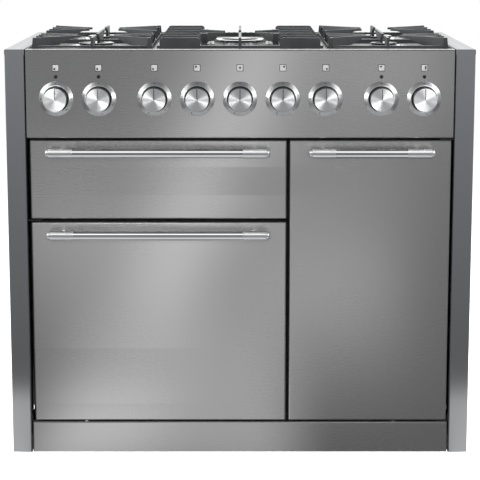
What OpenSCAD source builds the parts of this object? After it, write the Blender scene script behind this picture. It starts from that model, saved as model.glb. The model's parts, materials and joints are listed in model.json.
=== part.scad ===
// Dual fuel range cooker, seen from the front along +Y, with the floor at z = 0.
// The doors face -Y. The origin is under the middle of the whole outline, handles included.

/* [Cabinet] */
// Width over the side panels
cooker_w = 1000; // [960:5:1100]
// Depth from the door faces to the rear edge
body_d = 600; // [580:5:650]
// Height of the hob rim above the floor
rim_h = 905; // [895:1:930]
// Gap between the floor and the side panels
floor_gap = 19; // [14:1:40]
// Width of the bright trim down each side of the front
trim_w = 42.3; // [36:0.1:50]
// Depth of the side trims
trim_d = 45; // [30:1:60]
// Thickness of folded sheet metal
sheet_t = 1.5; // [1:0.1:2]
// Radius of the folded edges
fold_r = 3; // [2.5:0.5:6]

/* [Front layout] */
// Height of the fascia
fascia_h = 189.5; // [180:0.5:200]
// Depth of the fascia's top fold
fascia_d = 22; // [18:1:28]
// Dark line between the fascia and each side trim
fascia_gap = 2.3; // [1:0.1:4]
// Thickness of the doors
door_t = 42; // [36:1:50]
// Gap between the backs of the doors and the front frame
seal_gap = 4; // [3:0.5:6]
// Gap between the fascia and the doors
row_gap = 4.6; // [4:0.1:8]
// Gap between the grill front and the main door
split_gap = 7.4; // [6:0.1:12]
// Gap between the left and right doors
centre_gap = 6.6; // [5.5:0.1:12]
// Gap between the left doors and the trim
left_gap = 8.3; // [6:0.1:10]
// Gap between the right door and the trim
right_gap = 5.3; // [4.5:0.1:8]
// Width of the tall door
tall_door_w = 346; // [320:1:360]
// Height of the grill front
grill_front_h = 170; // [160:1:180]
// Height of the plinth
plinth_h = 69; // [60:1:75]
// Gap between the plinth and the doors
plinth_gap = 4; // [4:0.1:6]

/* [Ovens] */
// Inner width of the main oven
main_cavity_w = 460; // [430:1:475]
// Inner height of the main oven
main_cavity_h = 350; // [330:1:365]
// Inner width of the tall oven
tall_cavity_w = 262; // [250:1:275]
// Inner height of the tall oven
tall_cavity_h = 530; // [500:1:545]
// Inner width of the grill compartment
grill_cavity_w = 470; // [440:1:480]
// Inner height of the grill compartment
grill_cavity_h = 128; // [120:1:136]
// Depth of the three compartments
cavity_d = 410; // [400:1:430]
// Depth of the air space behind the fan covers
fan_space = 45; // [40:1:55]
// Radius of the oven fans
fan_r = 66; // [55:1:72]
// Radius of the ring elements
ring_r = 88; // [80:1:94]
// Height from one shelf level to the next
shelf_pitch = 64; // [58:1:68]
// Radius of the shelves' edge wires
wire_r = 2.4; // [2:0.1:2.7]
// Travel of the grill drawer
grill_travel = 330; // [250:10:340]

/* [Handles] */
// Reach of the handles in front of the doors
handle_reach = 50; // [45:1:60]
// Radius of the bright middle bar
bar_r = 10.3; // [8:0.1:10.5]
// Radius of the end sleeves
sleeve_r = 10.8; // [10.6:0.1:13]
// Length of one end sleeve
sleeve_l = 51; // [40:1:60]
// Length of the domed tip
tip_l = 7; // [5:0.5:10]
// Length of the two wide handles
wide_handle_l = 477; // [420:1:500]
// Length of the narrow handle
narrow_handle_l = 268; // [240:2:300]
// Distance from a door's top edge down to its handle
handle_drop = 23; // [20:1:40]

/* [Knobs] */
// Drop from the rim to the line of knobs
knob_drop = 105; // [100:1:112]
// Distance from one gas knob to the next
gas_pitch = 91; // [86:1:96]
// Place of the inner electric knobs, each side of the middle
inner_electric_x = 300.5; // [290:0.5:310]
// Place of the outer electric knobs, each side of the middle
outer_electric_x = 391.5; // [384:0.5:400]
// Radius of the knob faces
knob_r = 25.35; // [22:0.05:26]
// Height of the knobs in front of the bezels
knob_h = 26; // [20:1:32]
// Outer radius of the bezels
bezel_r = 36.8; // [34:0.1:40]
// Inner radius of the bright bezel ring
bezel_bore_r = 27; // [26.5:0.1:31]
// How far the bezels stand proud of the fascia
bezel_h = 4.5; // [3:0.1:6]
// How far a gas knob is pushed in to light the gas
gas_push = 3; // [2:0.5:4]
// Radius of the control spindles
spindle_r = 4; // [3:0.1:5]
// Drop from the rim to the neon lamps
lamp_drop = 58; // [54:1:60]

/* [Hob] */
// Depth of the hob surface under the rim
hob_drop = 5; // [3:0.5:8]
// Depth of the wells round the burners
well_drop = 8; // [6:0.5:10]
// Distance of the outer burners from the middle
burner_x = 320; // [310:1:325]
// Distance of the front burners behind the door faces
front_burner_d = 185; // [175:1:195]
// Distance of the rear burners behind the door faces
rear_burner_d = 425; // [415:1:435]
// Distance of the wok burner behind the door faces
wok_burner_d = 300; // [290:1:310]
// Radius of the caps of the large outer burners
cap_r = 40; // [36:0.5:44]
// Radius of the cap of the small burner at the front right
small_cap_r = 30; // [26:0.5:32]
// Radius of the outer cap ring of the wok burner
wok_cap_r = 62; // [56:0.5:66]
// Height of the pan supports above the rim
support_rise = 20; // [16:0.5:26]
// Depth of the rear vent strip
vent_d = 60; // [50:1:70]
// Distance from one vent slot to the next
vent_pitch = 13.5; // [12:0.1:16]
// Width of a vent slot
vent_slot_w = 8.5; // [6:0.1:10]
// How far the pan supports lift off
support_lift = 120; // [60:10:160]

/* [Hidden] */
$fn = 48;
eps = 0.01;
run_fit = 0.05;
slide_fit = 0.5;
steel = "#b9bdc2";
dark = "#2b2b2d";
enamel = "#3a3b3f";
iron = "#1c1c1d";
bright = "#dfe2e6";
brass = "#b08d4a";

half_w = cooker_w / 2;
front_y = (handle_reach - body_d) / 2;
rear_y = front_y + body_d;
trim_x = half_w - trim_w;
fascia_x = trim_x - fascia_gap;
fascia_z = rim_h - fascia_h;
plinth_top = floor_gap + plinth_h;
door_z = plinth_top + plinth_gap;
door_top = fascia_z - row_gap;
grill_z = door_top - grill_front_h;
main_door_top = grill_z - split_gap;
left_door_x = -trim_x + left_gap;
tall_door_x1 = trim_x - right_gap;
tall_door_x0 = tall_door_x1 - tall_door_w;
left_door_x1 = tall_door_x0 - centre_gap;
door_back_y = front_y + door_t;
frame_y = door_back_y + seal_gap;
frame_t = 2;
liner_y = frame_y + frame_t;
liner_back_y = liner_y + cavity_d;
main_x = (left_door_x + left_door_x1) / 2;
main_z = (door_z + main_door_top) / 2;
tall_x = (tall_door_x0 + tall_door_x1) / 2;
tall_z = (door_z + door_top) / 2;
grill_mid_z = (grill_z + door_top) / 2;
main_lo = [main_x - main_cavity_w / 2, liner_y, main_z - main_cavity_h / 2];
main_hi = [main_x + main_cavity_w / 2, liner_back_y, main_z + main_cavity_h / 2];
tall_lo = [tall_x - tall_cavity_w / 2, liner_y, tall_z - tall_cavity_h / 2];
tall_hi = [tall_x + tall_cavity_w / 2, liner_back_y, tall_z + tall_cavity_h / 2];
grill_lo = [main_x - grill_cavity_w / 2, liner_y, grill_mid_z - grill_cavity_h / 2];
grill_hi = [main_x + grill_cavity_w / 2, liner_back_y, grill_mid_z + grill_cavity_h / 2];
fan_cover_y = liner_back_y - fan_space;

knob_z = rim_h - knob_drop;
lamp_z = rim_h - lamp_drop;
lamp_r = 3;
bezel_floor = 1;
knob_clear = gas_push + 1;
knob_base = bezel_floor + knob_clear;
knob_face = bezel_h + knob_h;
spindle_tip = knob_face - 5 - gas_push - 1;
control_y = front_y + 14;
electric_x = [-outer_electric_x, -inner_electric_x, inner_electric_x, outer_electric_x];
gas_x = [-2 * gas_pitch, -gas_pitch, 0, gas_pitch, 2 * gas_pitch];
tap_d = 34;
switch_d = 30;
spindle_in = 16;

hob_z = rim_h - hob_drop;
well_z = hob_z - well_drop;
hob_y0 = front_y + fascia_d + 0.5;
vent_y0 = rear_y - sheet_t - vent_d;
hob_y1 = vent_y0 - 0.5;
support_z = rim_h + support_rise;
cup_h = 26;
outer_cap_h = 5;
cap_z = rim_h - 2;
// Each burner: place across, depth behind the doors, radius of its cap
burners = [[-burner_x, front_burner_d, cap_r], [-burner_x, rear_burner_d, cap_r],
           [0, wok_burner_d, wok_cap_r], [burner_x, rear_burner_d, cap_r],
           [burner_x, front_burner_d, small_cap_r]];

hinge_in = 14;
hinge_back = 10;
pin_r = 4;
bush_r = 7;
bush_l = 18;
arm_t = 2.4;
liner_gap = 0.3;
liner_set = 8;

runner_z = grill_lo.z + 30;
runner_h = 34;
runner_w = 13;
rail_back = liner_back_y - 12;
rail_l = rail_back - liner_y;

// Moves what follows to a point on the front, with its own z axis pointing to the viewer
module facing(x, y, z) {
  translate([x, y, z])
    rotate([90, 0, 0])
      children();
}

// Extrudes a profile drawn as depth and height along the width
module along_x(x0, x1) {
  translate([x0, 0, 0])
    rotate([90, 0, 90])
      linear_extrude(x1 - x0)
        children();
}

// Extrudes a profile drawn as width and height along the depth
module along_y(y0, y1) {
  translate([0, y1, 0])
    rotate([90, 0, 0])
      linear_extrude(y1 - y0)
        children();
}

// Box from its lowest to its highest corner
module block(lo, hi) {
  translate(lo)
    cube(hi - lo);
}

// Rectangle with four round corners
module round_rect(x0, y0, x1, y1, r) {
  translate([x0 + r, y0])
    square([x1 - x0 - 2 * r, y1 - y0]);
  translate([x0, y0 + r])
    square([x1 - x0, y1 - y0 - 2 * r]);
  for (x = [x0 + r, x1 - r], y = [y0 + r, y1 - r])
    translate([x, y])
      circle(r);
}

// Box whose front edges and corners are rounded, as a pressed panel
module pillow(lo, hi, r) {
  intersection() {
    translate([0, 0, lo.z])
      linear_extrude(hi.z - lo.z)
        round_rect(lo.x, lo.y, hi.x, hi.y + 2 * r, r);
    along_x(lo.x, hi.x)
      round_rect(lo.y, lo.z, hi.y + 2 * r, hi.z, r);
    along_y(lo.y, hi.y)
      round_rect(lo.x, lo.z, hi.x, hi.z, r);
  }
}

// Pressed skin: a rounded panel that is open at the back
module pressed_skin(lo, hi) {
  difference() {
    pillow(lo, hi, fold_r);
    pillow(lo + [sheet_t, sheet_t, sheet_t], hi + [-sheet_t, 1, -sheet_t], fold_r - sheet_t);
  }
}

// Inner door pan: a rounded panel that is open to the front
module inner_pan(lo, hi) {
  translate([0, lo.y + hi.y, 0])
    mirror([0, 1, 0])
      pressed_skin(lo, hi);
}

// Sheet floor and skirts
tray_z = floor_gap + 26;
tray_top = tray_z + 30;
foot_x = half_w - 90;
foot_y = [front_y + 90, rear_y - 70];
foot_r = 6;

module base_tray() {
  lo = [-trim_x + 1, front_y + 40, tray_z];
  hi = [trim_x - 1, rear_y - 6, tray_top];
  rail = 34;
  color(dark) {
    difference() {
      block(lo, hi);
      block(lo + [2, 2, 2], hi + [-2, -2, 1]);
      for (x = [-foot_x, foot_x], y = foot_y)
        translate([x, y, tray_z - 1])
          cylinder(h = 4, r = foot_r + run_fit);
    }
    for (x = [lo.x + 2 - eps, hi.x - 2 + eps - rail])
      block([x, lo.y + 10, tray_z + 2 - eps], [x + rail, hi.y - 10, tray_z + 4]);
  }
}

// Four screw feet with hexagon collars
module levelling_feet() {
  color(dark)
    for (x = [-foot_x, foot_x], y = foot_y)
      translate([x, y, 0]) {
        rotate_extrude()
          polygon([[0, 0], [24, 0], [25, 1.5], [25, 7], [14, 11], [foot_r, 12], [foot_r, tray_z + 17],
                   [0, tray_z + 17]]);
        translate([0, 0, tray_z - 7])
          cylinder(h = 7, r = 11, $fn = 6);
      }
}

// Folded side panel with the front trim as a closed box and the top strip
module side_panel(side) {
  outer_y = front_y + 15;
  color(steel)
    mirror([side < 0 ? 1 : 0, 0, 0]) {
      translate([0, 0, floor_gap])
        linear_extrude(rim_h - floor_gap - sheet_t)
          difference() {
            round_rect(trim_x, front_y, half_w, front_y + trim_d, fold_r);
            round_rect(trim_x + sheet_t, front_y + sheet_t, half_w - sheet_t, front_y + trim_d - sheet_t,
                       fold_r - sheet_t);
          }
      block([half_w - sheet_t, outer_y, floor_gap], [half_w, rear_y, rim_h - sheet_t]);
      block([half_w - 28, rear_y - sheet_t, floor_gap], [half_w, rear_y, rim_h - sheet_t]);
      top_strip();
    }
}

// Top strip of a side panel, folded down at both edges
module top_strip() {
  along_y(front_y, rear_y)
    difference() {
      round_rect(trim_x, rim_h - 12, half_w, rim_h, 2.5);
      translate([trim_x + sheet_t, rim_h - 14])
        square([trim_w - 2 * sheet_t, 14 - sheet_t]);
    }
}

module side_panel_left() {
  side_panel(-1);
}

module side_panel_right() {
  side_panel(1);
}

// Rear cover with louvre slots and windows for the gas inlet and the cable
module back_panel() {
  y1 = rear_y - sheet_t - 0.2;
  color(steel)
    difference() {
      block([-half_w + sheet_t + 1, y1 - sheet_t, floor_gap + 8], [half_w - sheet_t - 1, y1, rim_h - 40.5]);
      for (i = [0:11], x = [main_x, tall_x])
        block([x - 90, y1 - 9, 300 + 16 * i], [x + 90, y1 + 9, 305 + 16 * i]);
      block([inlet_x - 30, y1 - 9, inlet_z - 30], [inlet_x + 30, y1 + 9, inlet_z + 30]);
      block([cable_x - 30, y1 - 9, cable_z - 22], [cable_x + 30, y1 + 9, cable_z + 22]);
    }
}

// Bare kick strip with two locating tabs on its top edge
module plinth() {
  tab_x = 0.74 * fascia_x;
  color(steel) {
    pressed_skin([-fascia_x, front_y, floor_gap], [fascia_x, front_y + 20, plinth_top]);
    for (x = [-tab_x, tab_x])
      block([x - 3, front_y + 3, plinth_top - eps], [x + 3, front_y + 19, plinth_top + 2]);
  }
}

// Dark plate behind the doors with the three oven mouths
module front_frame() {
  color(dark)
    difference() {
      block([-trim_x + 0.5, frame_y, tray_top], [trim_x - 0.5, liner_y, fascia_z + 12]);
      block(main_lo - [0, 9, 0], [main_hi.x, liner_y + 9, main_hi.z]);
      block(tall_lo - [0, 9, 0], [tall_hi.x, liner_y + 9, tall_hi.z]);
      block(grill_lo - [0, 9, 0], [grill_hi.x, liner_y + 9, grill_hi.z]);
    }
}

// Fascia: a folded channel with a rolled top edge
module control_panel() {
  inner_r = fold_r - sheet_t;
  color(steel)
    difference() {
      along_x(-fascia_x, fascia_x)
        difference() {
          round_rect(front_y, fascia_z, front_y + fascia_d, rim_h, fold_r);
          round_rect(front_y + sheet_t, fascia_z + sheet_t, front_y + fascia_d - sheet_t, rim_h - sheet_t,
                     inner_r);
          translate([front_y + fascia_d - sheet_t - 1, fascia_z + 12])
            square([sheet_t + 2, fascia_h - 24]);
        }
      for (x = concat(electric_x, gas_x))
        facing(x, front_y + 5, knob_z)
          cylinder(h = 10, r = spindle_r + 2);
      for (x = electric_x)
        facing(x, front_y + 5, lamp_z)
          cylinder(h = 10, r = lamp_r + 0.1);
    }
}

// Conical dial rings with a thin floor round each spindle
module knob_bezels() {
  color(bright)
    for (x = concat(electric_x, gas_x))
      facing(x, front_y, knob_z)
        rotate_extrude()
          polygon([[spindle_r + 2, 0], [bezel_r, 0], [bezel_r, 1], [bezel_bore_r + 1.6, bezel_h],
                   [bezel_bore_r + 0.6, bezel_h], [bezel_bore_r, bezel_h - 0.6], [bezel_bore_r, bezel_floor],
                   [spindle_r + 2, bezel_floor]]);
}

// Neon lenses with a domed front
module indicator_lamps() {
  color("#7a2b22")
    for (x = electric_x)
      facing(x, front_y, lamp_z) {
        translate([0, 0, -8])
          cylinder(h = 8.6, r = lamp_r);
        cylinder(h = 0.6, r = lamp_r + 0.8);
        intersection() {
          translate([0, 0, 0.6 - 3.6])
            sphere(r = 4.6);
          cylinder(h = 6, r = lamp_r);
        }
      }
}

// Knob with a turned, slightly dished face and a pointer groove; its bore is closed at the front
module knob_body(bore_r, bore_end) {
  rim = 1.2;
  difference() {
    rotate_extrude()
      polygon([[0, knob_base], [knob_r, knob_base], [knob_r, knob_face - rim], [knob_r - rim, knob_face],
               [knob_r - 3.5, knob_face - 0.2], [0, knob_face - 1.4]]);
    rotate_extrude()
      polygon([[spindle_r + 4, knob_base - 1], [knob_r - 2.2, knob_base - 1], [knob_r - 3, knob_face - 5],
               [spindle_r + 4, knob_face - 6]]);
    if (bore_r > 0)
      cylinder(h = bore_end, r = bore_r);
    block([-0.9, 0, knob_face - 2.4], [0.9, knob_r - 1, knob_face + 1]);
  }
}

// Electric knob with its own spindle reaching back into the switch
module electric_knob(x) {
  color(bright)
    facing(x, front_y, knob_z) {
      knob_body(0, 0);
      translate([0, 0, -(control_y - front_y) - spindle_in])
        cylinder(h = (control_y - front_y) + spindle_in + knob_base + 2, r = spindle_r);
    }
}

module oven_function_knob() {
  electric_knob(electric_x[0]);
}

module oven_heat_knob() {
  electric_knob(electric_x[1]);
}

module grill_heat_knob() {
  electric_knob(electric_x[2]);
}

module tall_heat_knob() {
  electric_knob(electric_x[3]);
}

// Gas spindle, which turns in its tap and carries the knob
module gas_spindle(x) {
  color(brass)
    facing(x, front_y, knob_z)
      translate([0, 0, -(control_y - front_y) - spindle_in])
        cylinder(h = (control_y - front_y) + spindle_in + spindle_tip, r = spindle_r);
}

// Gas knob, which slides on its spindle when it is pushed
module gas_knob(x) {
  color(bright)
    facing(x, front_y, knob_z)
      knob_body(spindle_r + run_fit, knob_face - 5);
}

module gas_spindle_1() {
  gas_spindle(gas_x[0]);
}

module gas_spindle_2() {
  gas_spindle(gas_x[1]);
}

module gas_spindle_3() {
  gas_spindle(gas_x[2]);
}

module gas_spindle_4() {
  gas_spindle(gas_x[3]);
}

module gas_spindle_5() {
  gas_spindle(gas_x[4]);
}

module gas_knob_1() {
  gas_knob(gas_x[0]);
}

module gas_knob_2() {
  gas_knob(gas_x[1]);
}

module gas_knob_3() {
  gas_knob(gas_x[2]);
}

module gas_knob_4() {
  gas_knob(gas_x[3]);
}

module gas_knob_5() {
  gas_knob(gas_x[4]);
}

// Valve bodies behind the fascia, clamped on the gas rail
module gas_taps() {
  color(brass)
    for (x = gas_x)
      difference() {
        union() {
          facing(x, control_y + tap_d, knob_z)
            cylinder(h = tap_d, r = 11);
          block([x - 12, control_y + 12, knob_z - 12], [x + 12, rail_y - rail_r, knob_z + 12]);
          translate([x, control_y + 22, knob_z])
            cylinder(h = 20, r = 6);
        }
        facing(x, control_y + spindle_in + 1, knob_z)
          cylinder(h = spindle_in + 2, r = spindle_r + run_fit);
      }
}

// Rotary switch and thermostat bodies
module oven_switches() {
  color("#d8d4c8")
    for (x = electric_x)
      difference() {
        union() {
          block([x - 22, control_y + 4, knob_z - 22], [x + 22, control_y + 4 + switch_d, knob_z + 22]);
          facing(x, control_y + 5, knob_z)
            cylinder(h = 5, r = 9);
          for (dx = [-14, 0, 14], dz = [-12, 12])
            block([x + dx - 3, control_y + 4 + switch_d - eps, knob_z + dz - 0.4],
                  [x + dx + 3, control_y + 12 + switch_d, knob_z + dz + 0.4]);
        }
        facing(x, control_y + spindle_in + 1, knob_z)
          cylinder(h = spindle_in + 2, r = spindle_r + run_fit);
      }
}

rail_r = 10;
rail_y = control_y + 46;
pipe_r = 4;
inlet_r = 14;
inlet_bore_r = 9.3;
inlet_x = 430;
inlet_z = knob_z;
cable_x = -360;
cable_z = knob_z - 10;

// Straight pipe between two points that differ along one axis, with a round elbow fitting at its end
module pipe_run(a, b, r) {
  d = b - a;
  len = norm(d);
  along = abs(d.x) > eps ? [0, d.x > 0 ? 90 : -90, 0] : abs(d.y) > eps ? [d.y > 0 ? -90 : 90, 0, 0]
        : [d.z > 0 ? 0 : 180, 0, 0];
  if (len > eps)
    translate(a)
      rotate(along)
        cylinder(h = len, r = r);
  translate(b)
    sphere(r = r + 1.5);
}

// Feed pipe of one burner: up from the tap, across, back and up into the cup
module feed_pipe(i) {
  tap_y = control_y + 22;
  level = knob_z + [34, 46, 40, 46, 34][i];
  bx = burners[i].x + [0, 16, 0, -16, 0][i];
  by = front_y + burners[i].y;
  start = [gas_x[i], tap_y, knob_z + 20];
  up = [gas_x[i], tap_y, level];
  across = [bx, tap_y, level];
  back = [bx, by, level];
  pipe_run(start, up, pipe_r);
  pipe_run(up, across, pipe_r);
  pipe_run(across, back, pipe_r);
  translate(back)
    cylinder(h = well_z - cup_h - level, r = pipe_r);
}

// Gas rail with the rear inlet socket and the five feed pipes
module gas_rail() {
  socket_l = 22;
  rail_end = [inlet_x, rail_y, inlet_z];
  socket_y = rear_y - 8;
  color(brass) {
    difference() {
      union() {
        pipe_run([gas_x[0] - 20, rail_y, inlet_z], rail_end, rail_r);
        pipe_run(rail_end, [inlet_x, socket_y - socket_l + 1, inlet_z], rail_r);
        facing(inlet_x, socket_y, inlet_z)
          cylinder(h = socket_l, r = inlet_r);
      }
      facing(inlet_x, socket_y + 1, inlet_z)
        cylinder(h = 17, r = inlet_bore_r);
    }
    for (i = [0:4])
      feed_pipe(i);
  }
}

// Mains connection box with a bore for the cable gland in its rear face
module terminal_box() {
  y1 = rear_y - 4;
  color(dark)
    difference() {
      union() {
        block([cable_x - 50, y1 - 54, cable_z - 34], [cable_x + 50, y1 - 8, cable_z + 34]);
        facing(cable_x, y1, cable_z)
          cylinder(h = 9, r = 17);
      }
      block([cable_x - 47, y1 - 51, cable_z - 31], [cable_x + 47, y1 - 12, cable_z + 31]);
      facing(cable_x, y1 + 1, cable_z)
        cylinder(h = 14, r = 10);
    }
}

// Hob top: a shallow pan with a round well for each burner
module hob_tray() {
  color(bright) {
    difference() {
      block([-fascia_x, hob_y0, hob_z - sheet_t], [fascia_x, hob_y1, rim_h]);
      block([-fascia_x + sheet_t, hob_y0 + sheet_t, hob_z],
            [fascia_x - sheet_t, hob_y1 - sheet_t, rim_h + 1]);
      for (b = burners)
        translate([b.x, front_y + b.y, hob_z - 9])
          cylinder(h = 20, r = b.z + 24);
    }
    for (b = burners)
      translate([b.x, front_y + b.y, 0])
        rotate_extrude()
          polygon([[b.z + 24, hob_z], [b.z + 17, well_z], [b.z - 6, well_z], [b.z - 6, well_z - sheet_t],
                   [b.z + 18, well_z - sheet_t], [b.z + 25, hob_z - sheet_t], [b.z + 25, hob_z]]);
  }
}

// Flue grille behind the hob, cut with a row of slots
module rear_vent_grille() {
  slots = floor((2 * fascia_x - 24) / vent_pitch);
  row = (slots - 1) * vent_pitch;
  y1 = vent_y0 + vent_d;
  color(bright)
    difference() {
      block([-fascia_x, vent_y0, rim_h - 40], [fascia_x, y1, rim_h]);
      block([-fascia_x + 2, vent_y0 + 2, rim_h - 41], [fascia_x - 2, y1 - 2, rim_h - 2]);
      for (i = [0:slots - 1])
        translate([i * vent_pitch - row / 2 - vent_slot_w / 2, vent_y0 + 8, rim_h - 5])
          cube([vent_slot_w, vent_d - 16, 10]);
    }
}

// Cups that hang in the wells and take the feed pipes
module burner_cups() {
  color(steel)
    for (b = burners)
      translate([b.x, front_y + b.y, 0])
        rotate_extrude()
          polygon([[0, well_z - cup_h], [b.z - 8, well_z - cup_h], [b.z - 8, well_z], [b.z + 5, well_z],
                   [b.z + 5, well_z + 1.5], [b.z - 10, well_z + 1.5], [b.z - 10, well_z - cup_h + 2],
                   [0, well_z - cup_h + 2]]);
}

// Toothed crown of one burner: a ring with slots cut from outside
module flame_crown(r_out, r_in, z0, z1, slots) {
  difference() {
    rotate_extrude()
      polygon([[r_in, z0], [r_out, z0], [r_out - 1.5, z1], [r_in, z1]]);
    for (i = [0:slots - 1])
      rotate(i * 360 / slots)
        translate([r_out - 5, -0.9, (z0 + z1) / 2])
          cube([9, 1.8, z1 - z0]);
  }
}

// Aluminium burner heads with their flame slots
module burner_heads() {
  z0 = well_z + 1.5;
  color("#9a9ca0")
    for (b = burners)
      translate([b.x, front_y + b.y, 0])
        if (b.z == wok_cap_r) {
          flame_crown(b.z - 2, b.z - 20, z0, cap_z, 36);
          flame_crown(24, 10, z0, cap_z + 2, 16);
          for (a = [30:120:270])
            rotate(a)
              block([22, -4, z0], [b.z - 18, 4, z0 + 4]);
        } else
          flame_crown(b.z - 2, b.z - 16, z0, cap_z, 24);
}

// Enamelled caps with a rounded edge
module cap_disc(r, z) {
  translate([0, 0, z])
    rotate_extrude()
      polygon([[0, 0], [r - 1, 0], [r, 1.2], [r, 2.4], [r - 0.8, 3.8], [r - 3, 4.7], [0, outer_cap_h]]);
}

module burner_caps() {
  color(iron)
    for (b = burners)
      translate([b.x, front_y + b.y, 0])
        if (b.z == wok_cap_r) {
          rotate_extrude()
            polygon([[b.z - 22, cap_z], [b.z - 1, cap_z], [b.z, cap_z + 1.2], [b.z, cap_z + 2.6],
                     [b.z - 2, cap_z + 4.4], [b.z - 19, cap_z + 4.8], [b.z - 22, cap_z + 2.5]]);
          cap_disc(26, cap_z + 2);
        } else
          cap_disc(b.z, cap_z);
}

// Spark electrode and flame sensor beside each burner
module burner_probes() {
  color("#e9e6dd")
    for (b = burners, a = [200, 340])
      translate([b.x + (b.z + 9) * cos(a), front_y + b.y + (b.z + 9) * sin(a), 0]) {
        translate([0, 0, well_z])
          cylinder(h = 9, r = 2.6);
        translate([0, 0, well_z + 9])
          cylinder(h = 3, r = 1.2);
      }
}

// Five-walled enamelled box that is open to the front
module liner_box(lo, hi) {
  difference() {
    block(lo - [sheet_t, 0, sheet_t], hi + [sheet_t, sheet_t, sheet_t]);
    block(lo - [0, 1, 0], hi);
  }
}

// Heating tubes: where each ring or grill element's two legs go through the back of its cavity
tube_r = 3.2;
leg_x = 20;
leg_rise = sqrt(ring_r * ring_r - leg_x * leg_x);
loop_r = 16;
loops = 6;
grill_leg_x = (2 * loops - 1) * loop_r;
grill_tube_z = grill_hi.z - 14;

// Holes for the two legs of an element
module leg_holes(x, z, half) {
  for (s = [-1, 1])
    facing(x + s * half, liner_back_y + 5, z)
      cylinder(h = 10, r = tube_r + 0.2);
}

module main_oven_liner() {
  color(enamel)
    difference() {
      liner_box(main_lo, main_hi);
      facing(main_x, liner_back_y + 5, main_z)
        cylinder(h = 10, r = 9);
      leg_holes(main_x, main_z + leg_rise, leg_x);
    }
}

module tall_oven_liner() {
  color(enamel)
    difference() {
      liner_box(tall_lo, tall_hi);
      facing(tall_x, liner_back_y + 5, tall_z)
        cylinder(h = 10, r = 9);
      leg_holes(tall_x, tall_z + leg_rise, leg_x);
    }
}

// Grill compartment with the fixed outer runners on its walls
module grill_liner() {
  color(enamel) {
    difference() {
      liner_box(grill_lo, grill_hi);
      leg_holes(main_x, grill_tube_z, grill_leg_x);
    }
    for (side = [0, 1])
      mirror_about_grill(side)
        along_y(liner_y, rail_back)
          channel(grill_lo.x, runner_z, runner_w, runner_h);
  }
}

// Mirrors what follows about the middle of the left doors
module mirror_about_grill(side) {
  translate([side * 2 * main_x, 0, 0])
    mirror([side, 0, 0])
      children();
}

// Channel profile that is open towards the middle of the grill, with its back a hair inside the wall
module channel(x0, z0, w, h) {
  difference() {
    translate([x0 - eps, z0])
      square([w + eps, h]);
    translate([x0 + sheet_t, z0 + sheet_t])
      square([w, h - 2 * sheet_t]);
  }
}

// Gaskets round the two oven mouths
module door_seals() {
  seal_w = 7;
  color("#1b1b1c")
    for (c = [[main_lo, main_hi], [tall_lo, tall_hi]])
      along_y(door_back_y + 0.4, frame_y)
        difference() {
          round_rect(c[0].x - 11, c[0].z - 11, c[1].x + 11, c[1].z + 11, 12);
          round_rect(c[0].x - 11 + seal_w, c[0].z - 11 + seal_w, c[1].x + 11 - seal_w, c[1].z + 11 - seal_w,
                     12 - seal_w);
        }
}

// Fan motors behind the oven backs, with a bore for the fan shafts
module fan_motors() {
  y0 = liner_back_y + sheet_t;
  color("#8c8f94")
    for (c = [[main_x, main_z], [tall_x, tall_z]])
      difference() {
        union() {
          facing(c[0], y0 + 3, c[1])
            cylinder(h = 3, r = 45);
          facing(c[0], y0 + 40, c[1])
            cylinder(h = 38, r = 30);
          block([c[0] - 38, y0 + 12, c[1] - 30], [c[0] + 38, y0 + 34, c[1] + 30]);
        }
        facing(c[0], y0 + 38, c[1])
          cylinder(h = 60, r = shaft_r + run_fit);
      }
}

shaft_r = 4;
fan_depth = 20;

// Paddle fan on its shaft
module fan_wheel(x, z) {
  blades = 8;
  color("#8c8f94")
    facing(x, liner_back_y, z) {
      translate([0, 0, -36])
        cylinder(h = 36 + 8 + fan_depth, r = shaft_r);
      translate([0, 0, 8])
        cylinder(h = 1.5, r = fan_r);
      translate([0, 0, 8])
        cylinder(h = fan_depth, r = 9);
      for (i = [0:blades - 1])
        rotate(i * 360 / blades)
          translate([16, -0.75, 8])
            cube([fan_r - 18, 1.5, fan_depth - 2]);
    }
}

module main_oven_fan() {
  fan_wheel(main_x, main_z);
}

module tall_oven_fan() {
  fan_wheel(tall_x, tall_z);
}

// Fan cover: a shallow tray with a ring of holes over the fan
module fan_cover(x, z, half, rise) {
  color(enamel)
    difference() {
      block([x - half, fan_cover_y, z - rise], [x + half, liner_back_y, z + rise]);
      block([x - half + 1.5, fan_cover_y + 1.5, z - rise + 1.5],
            [x + half - 1.5, liner_back_y + 1, z + rise - 1.5]);
      facing(x, fan_cover_y + 5, z) {
        for (i = [0:11], r = [26, 44])
          rotate(i * 30 + r)
            translate([r, 0, 0])
              cylinder(h = 10, r = r / 8);
        cylinder(h = 10, r = 7);
      }
      for (i = [-3:3], s = [-1, 1])
        block([x + s * half - 4, fan_cover_y + 9, z + 26 * i - 8],
              [x + s * half + 4, liner_back_y - 9, z + 26 * i + 8]);
    }
}

module fan_covers() {
  fan_cover(main_x, main_z, main_cavity_w / 2 - 60, main_cavity_h / 2 - 40);
  fan_cover(tall_x, tall_z, tall_cavity_w / 2 - 14, tall_cavity_h / 4 - 2.5);
}

// Plate that holds the two legs of a ring element behind the oven back
module leg_plate(x, z, half) {
  facing(x, liner_back_y + sheet_t + 1.5, z)
    linear_extrude(1.5)
      round_rect(-half - 9, -8, half + 9, 8, 4);
}

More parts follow.
